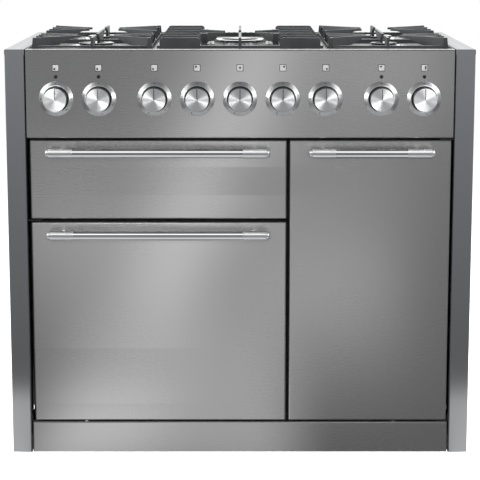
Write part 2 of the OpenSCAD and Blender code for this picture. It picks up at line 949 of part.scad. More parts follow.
// Ring elements round the fans and the folded grill element
module heating_elements() {
  y0 = grill_lo.y + 40;
  y1 = grill_hi.y - 60;
  color("#4a4442") {
    for (c = [[main_x, main_z], [tall_x, tall_z]]) {
      facing(c[0], liner_back_y, c[1]) {
        translate([0, 0, 20])
          rotate_extrude()
            translate([ring_r, 0])
              circle(tube_r, $fn = 24);
        for (dx = [-leg_x, leg_x])
          translate([dx, leg_rise, -12])
            cylinder(h = 32, r = tube_r);
      }
      leg_plate(c[0], c[1] + leg_rise, leg_x);
    }
    for (i = [0:loops - 1]) {
      lx = main_x + (i - (loops - 1) / 2) * 4 * loop_r;
      for (s = [-1, 1])
        translate([lx + s * loop_r, y1, grill_tube_z])
          rotate([90, 0, 0])
            cylinder(h = y1 - y0, r = tube_r);
      translate([lx, y0, grill_tube_z])
        rotate(180)
          rotate_extrude(angle = 180)
            translate([loop_r, 0])
              circle(tube_r, $fn = 24);
      if (i < loops - 1)
        translate([lx + 2 * loop_r, y1, grill_tube_z])
          rotate_extrude(angle = 180)
            translate([loop_r, 0])
              circle(tube_r, $fn = 24);
    }
    for (s = [-1, 1]) {
      translate([main_x + s * grill_leg_x, y1 - 1, grill_tube_z])
        rotate([-90, 0, 0])
          cylinder(h = grill_hi.y - y1 + 1 + sheet_t + 10, r = tube_r);
      leg_plate(main_x + s * grill_leg_x, grill_tube_z, 0);
    }
  }
}

rung_r = 3;
rung_in = 7.8;
upright_r = 2.5;
rung_gap = 14;
main_levels = 4;
tall_levels = 7;
ladder_y0 = liner_y + 14;
ladder_y1 = fan_cover_y - 6;

// Level of a shelf's lower rung above the cavity floor
function rung_z(floor_z, level) = floor_z + 54 + shelf_pitch * level;

// Wire ladder on one side wall
module ladder(x_wall, side, floor_z, levels) {
  x = x_wall + side * rung_in;
  for (y = [ladder_y0 + 12, (ladder_y0 + ladder_y1) / 2, ladder_y1 - 12])
    translate([x_wall + side * upright_r, y, floor_z])
      cylinder(h = rung_z(0, levels - 1) + rung_gap + 8, r = upright_r, $fn = 8);
  for (i = [0:levels - 1], dz = [0, rung_gap])
    translate([x, ladder_y1, rung_z(floor_z, i) + dz])
      rotate([90, 0, 0])
        cylinder(h = ladder_y1 - ladder_y0, r = rung_r, $fn = 8);
}

module shelf_ladders() {
  color(bright) {
    ladder(main_lo.x, 1, main_lo.z, main_levels);
    ladder(main_hi.x, -1, main_lo.z, main_levels);
    ladder(tall_lo.x, 1, tall_lo.z, tall_levels);
    ladder(tall_hi.x, -1, tall_lo.z, tall_levels);
  }
}

// Wire shelf that lies on a pair of rungs
module wire_shelf(x0, x1, z) {
  bar_r = 1.8;
  pitch = 26;
  xa = x0 + rung_in;
  xb = x1 - rung_in;
  ya = ladder_y0 + 4;
  yb = ladder_y1 - 10;
  bars = floor((xb - xa - 20) / pitch);
  for (x = [xa, xb])
    translate([x, yb, z])
      rotate([90, 0, 0])
        cylinder(h = yb - ya, r = wire_r, $fn = 8);
  for (y = [ya, (ya + yb) / 2, yb])
    translate([xa, y, z])
      rotate([0, 90, 0])
        cylinder(h = xb - xa, r = wire_r, $fn = 8);
  for (i = [0:bars])
    translate([(xa + xb) / 2 + (i - bars / 2) * pitch, yb, z + wire_r])
      rotate([90, 0, 0])
        cylinder(h = yb - ya, r = bar_r, $fn = 8);
}

module oven_shelves() {
  seat = rung_r + wire_r;
  color(bright) {
    for (level = [0, 2])
      wire_shelf(main_lo.x, main_hi.x, rung_z(main_lo.z, level) + seat);
    for (level = [0, 2, 4])
      wire_shelf(tall_lo.x, tall_hi.x, rung_z(tall_lo.z, level) + seat);
  }
}

main_pin = [left_door_x + hinge_in, front_y + hinge_back];
tall_pin = [tall_door_x1 - hinge_in, front_y + hinge_back];

// Bracket arm in the gap above or below a door, with its pin pointing into the door
module hinge_arm(pin, side, z, up) {
  x_out = side * (trim_x - 0.8);
  x_in = pin.x - side * 9;
  z0 = z - arm_t / 2;
  difference() {
    block([min(x_out, x_in), pin.y - 8, z0], [max(x_out, x_in), frame_y, z0 + arm_t]);
    translate([x_in, pin.y - 8, z0 - 1])
      rotate(45)
        cube([10, 10, 2 * (arm_t + 2)], center = true);
  }
  translate([pin.x, pin.y, up ? z0 : z0 + arm_t])
    mirror([0, 0, up ? 0 : 1])
      cylinder(h = arm_t / 2 + 3 + bush_l, r = pin_r);
}

// Upright of a lower bracket, in the gap between a door and its trim
module hinge_upright(side) {
  x_out = side * (trim_x - 0.8);
  x_in = side * (trim_x - 2.9);
  z0 = door_z - plinth_gap / 2 - arm_t / 2;
  block([min(x_out, x_in), front_y + 2, z0], [max(x_out, x_in), frame_y, z0 + 17]);
}

module hinge_brackets() {
  below = door_z - plinth_gap / 2;
  color(steel) {
    hinge_arm(main_pin, -1, below, true);
    hinge_arm(main_pin, -1, main_door_top + split_gap / 2, false);
    hinge_arm(tall_pin, 1, below, true);
    hinge_arm(tall_pin, 1, door_top + row_gap / 2, false);
    hinge_upright(-1);
    hinge_upright(1);
  }
}

// Outer skin of a door with clearance holes for its pins
module door_skin(x0, x1, z0, z1, pin) {
  color(steel)
    difference() {
      pressed_skin([x0, front_y, z0], [x1, door_back_y - 4, z1]);
      translate([pin.x, pin.y, z0 - 5])
        cylinder(h = 10, r = pin_r + 0.8);
      translate([pin.x, pin.y, z1 - 5])
        cylinder(h = 10, r = pin_r + 0.8);
    }
}

// Inner pan of a door with a bush for each pin
module door_pan(x0, x1, z0, z1, pin) {
  g = sheet_t + liner_gap;
  lo = [x0 + g, front_y + liner_set, z0 + g];
  hi = [x1 - g, door_back_y, z1 - g];
  color(enamel)
    difference() {
      union() {
        inner_pan(lo, hi);
        translate([pin.x, pin.y, lo.z])
          cylinder(h = bush_l, r = bush_r);
        translate([pin.x, pin.y, hi.z - bush_l])
          cylinder(h = bush_l, r = bush_r);
      }
      translate([pin.x, pin.y, lo.z - 1])
        cylinder(h = bush_l + 2, r = pin_r + run_fit);
      translate([pin.x, pin.y, hi.z - bush_l - 1])
        cylinder(h = bush_l + 2, r = pin_r + run_fit);
    }
}

module main_door_panel() {
  door_skin(left_door_x, left_door_x1, door_z, main_door_top, main_pin);
}

module main_door_liner() {
  door_pan(left_door_x, left_door_x1, door_z, main_door_top, main_pin);
}

module tall_door_panel() {
  door_skin(tall_door_x0, tall_door_x1, door_z, door_top, tall_pin);
}

module tall_door_liner() {
  door_pan(tall_door_x0, tall_door_x1, door_z, door_top, tall_pin);
}

// Half of a handle's outline: grooved domed tip, sleeve, then the bright bar
function handle_half(len) = [
  [0, 0], [sleeve_r * 0.45, 0], [sleeve_r * 0.66, tip_l * 0.2], [sleeve_r * 0.78, tip_l * 0.6],
  [sleeve_r * 0.78, tip_l - 1], [sleeve_r * 0.7, tip_l - 0.8], [sleeve_r * 0.7, tip_l + 0.4],
  [sleeve_r, tip_l + 0.6],
  [sleeve_r, tip_l + sleeve_l], [bar_r, tip_l + sleeve_l + 0.8], [bar_r, len / 2], [0, len / 2]];

// Towel rail handle on two posts
module rail_handle(x, z, len) {
  bar_y = front_y - handle_reach + sleeve_r;
  color(bright) {
    for (side = [0, 1])
      translate([x, bar_y, z])
        mirror([side, 0, 0])
          translate([-len / 2, 0, 0])
            rotate([0, 90, 0])
              rotate_extrude()
                polygon(handle_half(len));
    for (side = [-1, 1])
      facing(x + side * (len / 2 - tip_l - sleeve_l / 2), front_y, z)
        cylinder(h = handle_reach - sleeve_r, r = 7.5);
  }
}

module main_door_handle() {
  rail_handle(main_x, main_door_top - handle_drop, wide_handle_l);
}

module tall_door_handle() {
  rail_handle(tall_x, door_top - handle_drop, narrow_handle_l);
}

module grill_handle() {
  rail_handle(main_x, door_top - handle_drop, wide_handle_l);
}

module grill_front_panel() {
  color(steel)
    pressed_skin([left_door_x, front_y, grill_z], [left_door_x1, door_back_y - 4, door_top]);
}

slide_x = grill_lo.x + sheet_t + slide_fit;
slide_z = runner_z + sheet_t + slide_fit;
slide_h = runner_h - 2 * (sheet_t + slide_fit);
slide_w = runner_w - sheet_t - slide_fit;
bar_x = slide_x + sheet_t + slide_fit;
bar_z = slide_z + sheet_t + slide_fit;
bar_h = slide_h - 2 * (sheet_t + slide_fit);
pan_x0 = bar_x + 26;
pan_x1 = 2 * main_x - pan_x0;
pan_rim_z = bar_z + bar_h / 2 + 3;

// Middle members of the telescopic runners
module grill_runner_slides() {
  color(bright)
    for (side = [0, 1])
      mirror_about_grill(side)
        along_y(liner_y + 2, rail_back)
          channel(slide_x, slide_z, slide_w, slide_h);
}

// Carriage: the back pan of the grill front, the inner runner bars and a rear cross rail
module grill_carriage() {
  g = sheet_t + liner_gap;
  side_end = rail_back - 4;
  pan_back = side_end - 40;
  color(steel) {
    inner_pan([left_door_x + g, front_y + liner_set, grill_z + g],
              [left_door_x1 - g, door_back_y, door_top - g]);
    for (side = [0, 1])
      mirror_about_grill(side) {
        block([bar_x, door_back_y - eps, bar_z], [bar_x + 7, side_end, bar_z + bar_h]);
        block([bar_x + 6, door_back_y - eps, pan_rim_z - 9], [pan_x0 + 6, pan_back, pan_rim_z - 7.5]);
      }
    block([bar_x + 6, pan_back - 12, pan_rim_z - 9], [2 * main_x - bar_x - 6, pan_back, pan_rim_z - 7.5]);
  }
}

// Grill pan on the carriage ledges, with its wire trivet
module grill_pan() {
  y0 = door_back_y + 12;
  y1 = rail_back - 60;
  z1 = pan_rim_z;
  z0 = grill_lo.z + 8;
  wall = 1.5;
  ledge_z = pan_rim_z - 7.5;
  color(enamel) {
    difference() {
      block([pan_x0 + 7, y0 + 2, z0], [pan_x1 - 7, y1 - 14, z1]);
      block([pan_x0 + 7 + wall, y0 + 2 + wall, z0 + wall], [pan_x1 - 7 - wall, y1 - 14 - wall, z1 + 1]);
    }
    for (side = [0, 1])
      mirror_about_grill(side)
        block([pan_x0 - 4, y0 + 2, ledge_z], [pan_x0 + 7 + eps, y1 - 14, ledge_z + wall]);
  }
  color(bright)
    trivet(y0 + 8, y1 - 20, z1 - 6);
}

// Wire trivet inside the grill pan, on short legs
module trivet(ya, yb, z) {
  xa = pan_x0 + 14;
  xb = pan_x1 - 14;
  legs_z = grill_lo.z + 8 + 1.5;
  pitch = 24;
  bars = floor((xb - xa - 16) / pitch);
  for (x = [xa, xb])
    translate([x, yb, z])
      rotate([90, 0, 0])
        cylinder(h = yb - ya, r = 2.5, $fn = 8);
  for (y = [ya, yb])
    translate([xa, y, z])
      rotate([0, 90, 0])
        cylinder(h = xb - xa, r = 2.5, $fn = 8);
  for (i = [0:bars])
    translate([(xa + xb) / 2 + (i - bars / 2) * pitch, yb, z])
      rotate([90, 0, 0])
        cylinder(h = yb - ya, r = 1.6, $fn = 8);
  for (x = [xa, xb], y = [ya + 30, yb - 30])
    translate([x, y, legs_z])
      cylinder(h = z - legs_z, r = 2, $fn = 8);
}

plate_t = 6;
base_h = 8;
rail_w = 7;
low_z = hob_z + base_h - 2;
tip_h = 5;
flat_share = 0.45;
sweep_share = 0.42;
root_slope = 2.5;

// Outline of a finger, from its root at 0 to its tip: full height at the root, then swept up to a thin tip
function finger_outline(len) = concat(
  [[root_slope, support_z], [0, hob_z + 1], [rail_w, hob_z + 1], [rail_w, low_z]],
  [for (a = [0:22.5:180]) [len * (flat_share + sweep_share * a / 180),
                           low_z + (support_z - tip_h - low_z) * (1 - cos(a)) / 2]],
  [[len, support_z - tip_h], [len, support_z]]);

// Finger along the depth, from its root to its tip
module deep_finger(x, d_root, d_tip) {
  translate([0, front_y + d_root, 0])
    mirror([0, d_tip < d_root ? 1 : 0, 0])
      along_x(x - plate_t / 2, x + plate_t / 2)
        polygon(finger_outline(abs(d_tip - d_root)));
}

// Rail of a base frame, which lies on the hob
module base_rail(x0, x1, d0, d1) {
  block([x0, front_y + d0, hob_z], [x1, front_y + d1, hob_z + base_h]);
}

// Rectangular base frame of a pan support
module base_frame(x0, x1, d0, d1) {
  for (x = [x0, x1 - rail_w])
    base_rail(x, x + rail_w, d0, d1);
  for (d = [d0, d1 - rail_w])
    base_rail(x0, x1, d, d + rail_w);
}

row_depths = [75, 135, 186, 231, 330, 388, 462, 532];
outer_half = 130;
finger_tip = 26;
fan_tip = 44;
post_w = 10.2;
post_d = 8;

// Upright post on a side rail, where a slanting finger starts
module root_post(wide) {
  along_y(-post_d / 2, post_d / 2)
    polygon([[0, hob_z + 1], [wide, hob_z + 1], [wide, support_z], [root_slope, support_z]]);
}

// Post and finger of one row, from half away from cx towards the middle of the burner at burner_d
module slanting_finger(cx, side, half, depth, burner_d, tip, post) {
  ahead = burner_d - depth;
  slant = atan2(ahead, half);
  inset = 3 + plate_t / 2 * abs(tan(slant));
  translate([cx + side * half, front_y + depth, 0])
    mirror([side > 0 ? 1 : 0, 0, 0]) {
      root_post(post);
      rotate([0, 0, slant])
        translate([inset, 0, 0])
          along_y(-plate_t / 2, plate_t / 2)
            polygon(finger_outline(norm([ahead, half]) - inset - tip));
    }
}

// Pan support over the two burners of one side
module outer_support(cx) {
  first = row_depths[0];
  last = row_depths[7];
  middle = (row_depths[3] + row_depths[4]) / 2;
  color(iron) {
    base_frame(cx - outer_half, cx + outer_half, first - rail_w / 2, last + rail_w / 2);
    base_rail(cx - outer_half, cx + outer_half, middle - rail_w / 2, middle + rail_w / 2);
    for (d = row_depths, s = [-1, 1])
      slanting_finger(cx, s, outer_half, d, d < middle ? front_burner_d : rear_burner_d, fan_tip, post_w);
    deep_finger(cx, first - plate_t / 2, front_burner_d - finger_tip);
    deep_finger(cx, middle + rail_w / 2, front_burner_d + finger_tip);
    deep_finger(cx, middle - rail_w / 2, rear_burner_d - finger_tip);
    deep_finger(cx, last + plate_t / 2, rear_burner_d + finger_tip);
  }
}

module pan_support_left() {
  outer_support(-burner_x);
}

module pan_support_right() {
  outer_support(burner_x);
}

centre_half = 180;
stack_in = 86;
stack_out = 174;
stack_rows = 8;
stack_r = 7;
stack_first = 75;
stack_last = 525;
wok_tip = 40;
wok_fan_tip = 46;
wok_row = 72;
wok_post_w = 19;

// Upright plate with two round top corners
module stack_plate(y) {
  along_y(y - plate_t / 2, y + plate_t / 2)
    intersection() {
      round_rect(stack_in, hob_z + 1 - stack_r, stack_out, support_z, stack_r);
      translate([stack_in, hob_z + 1])
        square([stack_out - stack_in, support_z - hob_z]);
    }
}

// Pan support over the wok burner, with a stack of plates at each side
module pan_support_centre() {
  pitch = (stack_last - stack_first) / (stack_rows - 1);
  d0 = stack_first - rail_w / 2;
  d1 = stack_last + rail_w / 2;
  color(iron) {
    base_frame(-centre_half, centre_half, d0, d1);
    for (s = [0, 1])
      mirror([s, 0, 0]) {
        base_rail(stack_in, stack_in + rail_w, d0, d1);
        for (i = [0:stack_rows - 1])
          stack_plate(front_y + stack_first + i * pitch);
      }
    for (s = [-1, 1], d = [-wok_row, wok_row])
      slanting_finger(0, s, stack_in + rail_w, wok_burner_d + d, wok_burner_d, wok_fan_tip, wok_post_w);
    deep_finger(0, stack_first - plate_t / 2, wok_burner_d - wok_tip);
    deep_finger(0, stack_last + plate_t / 2, wok_burner_d + wok_tip);
  }
}

base_tray();
levelling_feet();
side_panel_left();
side_panel_right();
back_panel();
plinth();
front_frame();
control_panel();
knob_bezels();
indicator_lamps();
hob_tray();
rear_vent_grille();
burner_cups();
burner_heads();
burner_caps();
burner_probes();
gas_rail();
gas_taps();
oven_switches();
main_oven_liner();
tall_oven_liner();
grill_liner();
door_seals();
fan_motors();
fan_covers();
heating_elements();
shelf_ladders();
oven_shelves();
hinge_brackets();
terminal_box();
main_door_panel();
main_door_liner();
main_door_handle();
tall_door_panel();
tall_door_liner();
tall_door_handle();
grill_front_panel();
grill_handle();
grill_carriage();
grill_pan();
grill_runner_slides();
main_oven_fan();
tall_oven_fan();
pan_support_left();
pan_support_centre();
pan_support_right();
oven_function_knob();
oven_heat_knob();
grill_heat_knob();
tall_heat_knob();
gas_spindle_1();
gas_spindle_2();
gas_spindle_3();
gas_spindle_4();
gas_spindle_5();
gas_knob_1();
gas_knob_2();
gas_knob_3();
gas_knob_4();
gas_knob_5();
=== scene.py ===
# Looks of a dual fuel range cooker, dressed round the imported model. Metres, +Z up, the doors face -Y.
import json
import math

import bmesh
import bpy
from mathutils import Matrix, Vector

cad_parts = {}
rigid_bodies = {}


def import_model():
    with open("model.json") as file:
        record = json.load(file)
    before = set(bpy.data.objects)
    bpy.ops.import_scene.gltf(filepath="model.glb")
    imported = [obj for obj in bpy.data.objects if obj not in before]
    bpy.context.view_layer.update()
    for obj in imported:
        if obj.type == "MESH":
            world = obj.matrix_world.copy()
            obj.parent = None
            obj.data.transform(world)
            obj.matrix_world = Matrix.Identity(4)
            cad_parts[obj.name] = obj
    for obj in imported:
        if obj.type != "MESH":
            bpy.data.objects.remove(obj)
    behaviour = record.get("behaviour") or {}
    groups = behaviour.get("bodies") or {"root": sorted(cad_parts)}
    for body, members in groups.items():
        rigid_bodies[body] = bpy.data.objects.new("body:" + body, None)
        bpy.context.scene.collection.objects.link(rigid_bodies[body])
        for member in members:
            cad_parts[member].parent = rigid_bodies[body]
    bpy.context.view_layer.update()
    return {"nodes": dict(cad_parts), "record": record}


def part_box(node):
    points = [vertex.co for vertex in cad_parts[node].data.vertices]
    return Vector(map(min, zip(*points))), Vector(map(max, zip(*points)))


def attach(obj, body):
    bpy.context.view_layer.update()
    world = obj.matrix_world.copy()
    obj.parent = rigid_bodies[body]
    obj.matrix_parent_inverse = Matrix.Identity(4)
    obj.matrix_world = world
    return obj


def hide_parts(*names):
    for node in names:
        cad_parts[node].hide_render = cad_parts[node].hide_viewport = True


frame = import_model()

MM = 0.001
SAME_POINT = 1e-7
NODES = frame["nodes"]


# Places taken from the frame
def lo(node):
    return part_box(node)[0]


def hi(node):
    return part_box(node)[1]


FRONT_Y = lo("main_door_panel").y
REAR_Y = hi("side_panel_left").y
RIM_Z = hi("control_panel").z
KNOB_NODES = (["oven_function_knob", "oven_heat_knob"] + ["gas_knob_%d" % i for i in range(1, 6)]
              + ["grill_heat_knob", "tall_heat_knob"])
KNOB_BODIES = (["function_knob", "oven_knob"] + ["knob_%d" % i for i in range(1, 6)]
               + ["grill_knob", "tall_knob"])


# Node helpers for procedural materials
class Shader:
    """A material with its Principled shader and short calls for adding nodes."""

    def __init__(self, name, colour, metallic, roughness, **sockets):
        self.mat = bpy.data.materials.new(name)
        self.mat.use_nodes = True
        self.tree = self.mat.node_tree
        self.bsdf = self.tree.nodes["Principled BSDF"]
        self.set("Base Color", (*colour, 1.0))
        self.set("Metallic", metallic)
        self.set("Roughness", roughness)
        for key, value in sockets.items():
            self.set(key.replace("_", " "), value)

    def set(self, socket, value):
        self.bsdf.inputs[socket].default_value = value

    def node(self, kind, **values):
        made = self.tree.nodes.new(kind)
        for key, value in values.items():
            if hasattr(made, key):
                setattr(made, key, value)
            else:
                made.inputs[key.replace("_", " ")].default_value = value
        return made

    def link(self, source, target):
        self.tree.links.new(source, target)

    def position(self, scale=(1.0, 1.0, 1.0)):
        """Position on the piece in metres, stretched by scale."""
        place = self.node("ShaderNodeTexCoord")
        mapping = self.node("ShaderNodeMapping")
        mapping.inputs["Scale"].default_value = scale
        self.link(place.outputs["Object"], mapping.inputs["Vector"])
        return mapping.outputs["Vector"]

    def noise(self, scale, vector, detail=3.0, roughness=0.5):
        made = self.node("ShaderNodeTexNoise", Scale=scale, Detail=detail, Roughness=roughness)
        self.link(vector, made.inputs["Vector"])
        return made.outputs["Fac"]

    def ranged(self, source, low, high, from_low=0.3, from_high=0.7):
        """Source spread from its own range over low to high."""
        made = self.node("ShaderNodeMapRange")
        made.inputs["From Min"].default_value = from_low
        made.inputs["From Max"].default_value = from_high
        made.inputs["To Min"].default_value = low
        made.inputs["To Max"].default_value = high
        self.link(source, made.inputs["Value"])
        return made.outputs["Result"]

    def mixed(self, factor, first, second):
        made = self.node("ShaderNodeMix", data_type="RGBA")
        made.inputs["A"].default_value = (*first, 1.0)
        made.inputs["B"].default_value = (*second, 1.0)
        self.link(factor, made.inputs["Factor"])
        return made.outputs["Result"]

    def colour_from(self, factor, first, second):
        self.link(self.mixed(factor, first, second), self.bsdf.inputs["Base Color"])

    def roughness_from(self, source):
        self.link(source, self.bsdf.inputs["Roughness"])

    def bump(self, height, distance, strength=1.0):
        made = self.node("ShaderNodeBump", Distance=distance, Strength=strength)
        self.link(height, made.inputs["Height"])
        self.link(made.outputs["Normal"], self.bsdf.inputs["Normal"])


def brushed(name, colour, roughness, grain, anisotropic=0.5):
    """Brushed sheet steel: fine streaks along the grain axis, highlights drawn out across them."""
    made = Shader(name, colour, 1.0, roughness, Anisotropic=anisotropic)
    tangent = made.node("ShaderNodeTangent", direction_type="RADIAL", axis=grain)
    made.link(tangent.outputs["Tangent"], made.bsdf.inputs["Tangent"])
    across, along = 1.0, 0.012
    scale = {"X": (along, across, across), "Y": (across, along, across), "Z": (across, across, along)}[grain]
    streaks = made.noise(2200.0, made.position(scale), detail=4.0, roughness=0.65)
    clouds = made.noise(3.0, made.position(), detail=2.0)
    lighter = tuple(min(1.0, c * 1.008) for c in colour)
    darker = tuple(c * 0.992 for c in colour)
    made.colour_from(made.ranged(streaks, 0.0, 1.0), darker, lighter)
    rough = made.node("ShaderNodeMath", operation="ADD")
    made.link(made.ranged(streaks, -0.008, 0.008), rough.inputs[0])
    made.link(made.ranged(clouds, roughness - 0.01, roughness + 0.01), rough.inputs[1])
    made.roughness_from(rough.outputs[0])
    made.bump(streaks, 0.000002, 0.2)
    return made.mat


def side_trim(name, colour, roughness):
    """Brushed trim steel whose faces towards the inside of the cooker are coloured near-black as painted shade."""
    mat = brushed(name, colour, roughness, "Z", 0.75)
    tree = mat.node_tree
    steel = tree.nodes["Principled BSDF"]
    # Painted shade: a near-black surface stands in for the shade on the inner faces seen through the gaps.
    painted_shade_bsdf = tree.nodes.new("ShaderNodeBsdfPrincipled")
    painted_shade_bsdf.inputs["Base Color"].default_value = (0.03, 0.03, 0.032, 1.0)
    painted_shade_bsdf.inputs["Roughness"].default_value = 0.6
    place = tree.nodes.new("ShaderNodeNewGeometry")
    spot, facing = (tree.nodes.new("ShaderNodeSeparateXYZ") for _ in range(2))
    tree.links.new(place.outputs["Position"], spot.inputs["Vector"])
    tree.links.new(place.outputs["Normal"], facing.inputs["Vector"])
    inwards = tree.nodes.new("ShaderNodeMath")
    inwards.operation = "MULTIPLY"
    tree.links.new(spot.outputs["X"], inwards.inputs[0])
    tree.links.new(facing.outputs["X"], inwards.inputs[1])
    # Mask of the faces turned towards the inside of the cooker, which get the painted shade.
    painted_shade_mask = tree.nodes.new("ShaderNodeMath")
    painted_shade_mask.operation = "LESS_THAN"
    painted_shade_mask.inputs[1].default_value = -0.2
    tree.links.new(inwards.outputs[0], painted_shade_mask.inputs[0])
    mix = tree.nodes.new("ShaderNodeMixShader")
    tree.links.new(painted_shade_mask.outputs[0], mix.inputs["Fac"])
    tree.links.new(steel.outputs["BSDF"], mix.inputs[1])
    tree.links.new(painted_shade_bsdf.outputs["BSDF"], mix.inputs[2])
    tree.links.new(mix.outputs[0], tree.nodes["Material Output"].inputs["Surface"])
    return mat


def turned(name, colour, roughness, axis, anisotropic):
    """Steel turned on a lathe: highlights fan out from the centre across the fine rings."""
    made = Shader(name, colour, 1.0, roughness, Anisotropic=anisotropic, Anisotropic_Rotation=0.25)
    tangent = made.node("ShaderNodeTangent", direction_type="RADIAL", axis=axis)
    made.link(tangent.outputs["Tangent"], made.bsdf.inputs["Tangent"])
    return made.mat


def plain_metal(name, colour, roughness):
    """Plain machined or plated metal with faint tarnish."""
    made = Shader(name, colour, 1.0, roughness)
    tarnish = made.noise(40.0, made.position(), detail=4.0)
    made.colour_from(made.ranged(tarnish, 0.0, 1.0), tuple(c * 0.86 for c in colour), colour)
    made.roughness_from(made.ranged(tarnish, roughness + 0.08, roughness - 0.04))
    return made.mat


def chrome(name):
    """Polished bar with the faintest wipe marks."""
    made = Shader(name, (0.86, 0.87, 0.88), 1.0, 0.09)
    wipes = made.noise(30.0, made.position((0.15, 1.0, 1.0)), detail=3.0)
    made.roughness_from(made.ranged(wipes, 0.06, 0.12))
    made.colour_from(made.ranged(wipes, 0.0, 1.0), (0.83, 0.84, 0.85), (0.88, 0.885, 0.89))
    return made.mat


def cast_iron(name):
    """Matt black enamelled casting with a pebbled skin, slightly green."""
    made = Shader(name, (0.04, 0.044, 0.045), 0.0, 0.5, Specular_IOR_Level=0.5)
    grain = made.noise(900.0, made.position(), detail=5.0, roughness=0.6)
    patches = made.noise(25.0, made.position(), detail=3.0)
    made.colour_from(made.ranged(patches, 0.0, 1.0), (0.034, 0.038, 0.039), (0.046, 0.051, 0.052))
    made.roughness_from(made.ranged(grain, 0.4, 0.55))
    made.bump(grain, 0.00012, 0.6)
    return made.mat


def enamel(name, colour, speck, roughness=0.16, peel_depth=0.00006):
    """Glossy vitreous enamel with fine specks and a slight orange peel."""
    made = Shader(name, colour, 0.0, roughness, Coat_Weight=0.4, Coat_Roughness=0.05)
    voronoi = made.node("ShaderNodeTexVoronoi", Scale=650.0)
    made.link(made.position(), voronoi.inputs["Vector"])
    specks = made.ranged(voronoi.outputs["Distance"], 1.0, 0.0, 0.12, 0.2)
    made.colour_from(specks, colour, speck)
    peel = made.noise(350.0, made.position(), detail=2.0)
    made.bump(peel, peel_depth, 0.5)
    return made.mat


def moulded(name, colour, roughness, grain_scale=500.0):
    """Moulded plastic, rubber or ceramic with a fine grain."""
    made = Shader(name, colour, 0.0, roughness)
    grain = made.noise(grain_scale, made.position(), detail=3.0)
    made.colour_from(made.ranged(grain, 0.0, 1.0), tuple(c * 0.85 for c in colour), colour)
    made.roughness_from(made.ranged(grain, roughness - 0.05, roughness + 0.08))
    made.bump(grain, 0.00008, 0.5)
    return made.mat


def heated_tube(name):
    """Element tube, straw and grey from the heat."""
    made = Shader(name, (0.09, 0.08, 0.075), 0.7, 0.5)
    bands = made.noise(18.0, made.position(), detail=4.0)
    made.colour_from(made.ranged(bands, 0.0, 1.0), (0.05, 0.047, 0.045), (0.19, 0.14, 0.09))
    made.roughness_from(made.ranged(bands, 0.4, 0.65))
    return made.mat


def galvanised(name):
    """Zinc plated sheet with soft spangle."""
    made = Shader(name, (0.52, 0.53, 0.55), 1.0, 0.38)
    spangle = made.node("ShaderNodeTexVoronoi", Scale=90.0)
    made.link(made.position(), spangle.inputs["Vector"])
    separate = made.node("ShaderNodeSeparateColor")
    made.link(spangle.outputs["Color"], separate.inputs["Color"])
    made.colour_from(separate.outputs["Red"], (0.44, 0.45, 0.47), (0.58, 0.59, 0.61))
    made.roughness_from(made.ranged(separate.outputs["Red"], 0.34, 0.46, 0.0, 1.0))
    return made.mat


def painted(name, colour, roughness):
    """Painted steel with a light texture."""
    made = Shader(name, colour, 0.0, roughness)
    grain = made.noise(1200.0, made.position(), detail=2.0)
    dust = made.noise(12.0, made.position(), detail=4.0)
    made.colour_from(made.ranged(dust, 0.0, 1.0), colour, tuple(c * 1.5 for c in colour))
    made.roughness_from(made.ranged(dust, roughness, roughness + 0.15))
    made.bump(grain, 0.00005, 0.5)
    return made.mat


STEEL = (0.605, 0.598, 0.598)
MATS = {
    "steel": brushed("brushed_steel", STEEL, 0.27, "X"),
    "trim_steel": side_trim("trim_steel", (0.615, 0.63, 0.65), 0.22),
    "hob_steel": brushed("hob_steel", (0.68, 0.685, 0.69), 0.2, "X"),
    "zinc_steel": galvanised("zinc_plate"),
    # Painted shade: a darker zinc for the hinge brackets, so that they read as shade in the door gaps.
    "shade_darkened_zinc": plain_metal("shade_darkened_zinc", (0.13, 0.13, 0.135), 0.4),
    "black_steel": painted("black_paint", (0.03, 0.031, 0.034), 0.5),
    "enamel": enamel("grey_black_enamel", (0.022, 0.023, 0.028), (0.16, 0.17, 0.18)),
    "chrome": chrome("chrome"),
    "satin": turned("turned_steel", (0.82, 0.825, 0.83), 0.38, "Y", 0.95),
    "satin_ring": turned("turned_ring", (0.8, 0.805, 0.81), 0.3, "Y", 0.6),
    "satin_tube": plain_metal("satin_tube", (0.92, 0.925, 0.93), 0.3),
    "brass": plain_metal("brass", (0.62, 0.45, 0.20), 0.28),
    "iron": cast_iron("cast_iron"),
    "cap_enamel": enamel("cap_enamel", (0.012, 0.012, 0.013), (0.03, 0.03, 0.03), 0.12, 0.00001),
    "aluminium": plain_metal("cast_aluminium", (0.62, 0.63, 0.64), 0.42),
    "element": heated_tube("heated_tube"),
    "knob_flank": moulded("knob_flank", (0.03, 0.03, 0.032), 0.35),
    "seal": moulded("seal_rubber", (0.02, 0.02, 0.021), 0.6),
    "lens": moulded("unlit_lens", (0.018, 0.012, 0.012), 0.2, 200.0),
    "ceramic": moulded("white_ceramic", (0.72, 0.70, 0.65), 0.35),
    "ink": moulded("printed_ink", (0.02, 0.021, 0.022), 0.45),
    "pale_ink": moulded("pale_print", (0.45, 0.455, 0.45), 0.45),
}


def dress(node, material):
    mesh = NODES[node].data
    mesh.materials.clear()
    mesh.materials.append(MATS[material])


def dress_cad_nodes():
    """Every CAD node gets the material of its slot in the record."""
    for part in frame["record"]["subparts"]:
        dress(part["node"], part["material_slot"])
    for node in ("hob_tray", "rear_vent_grille"):
        dress(node, "hob_steel")
    # Painted shade: the hinge brackets take the darkened zinc in place of their slot's zinc.
    dress("hinge_brackets", "shade_darkened_zinc")


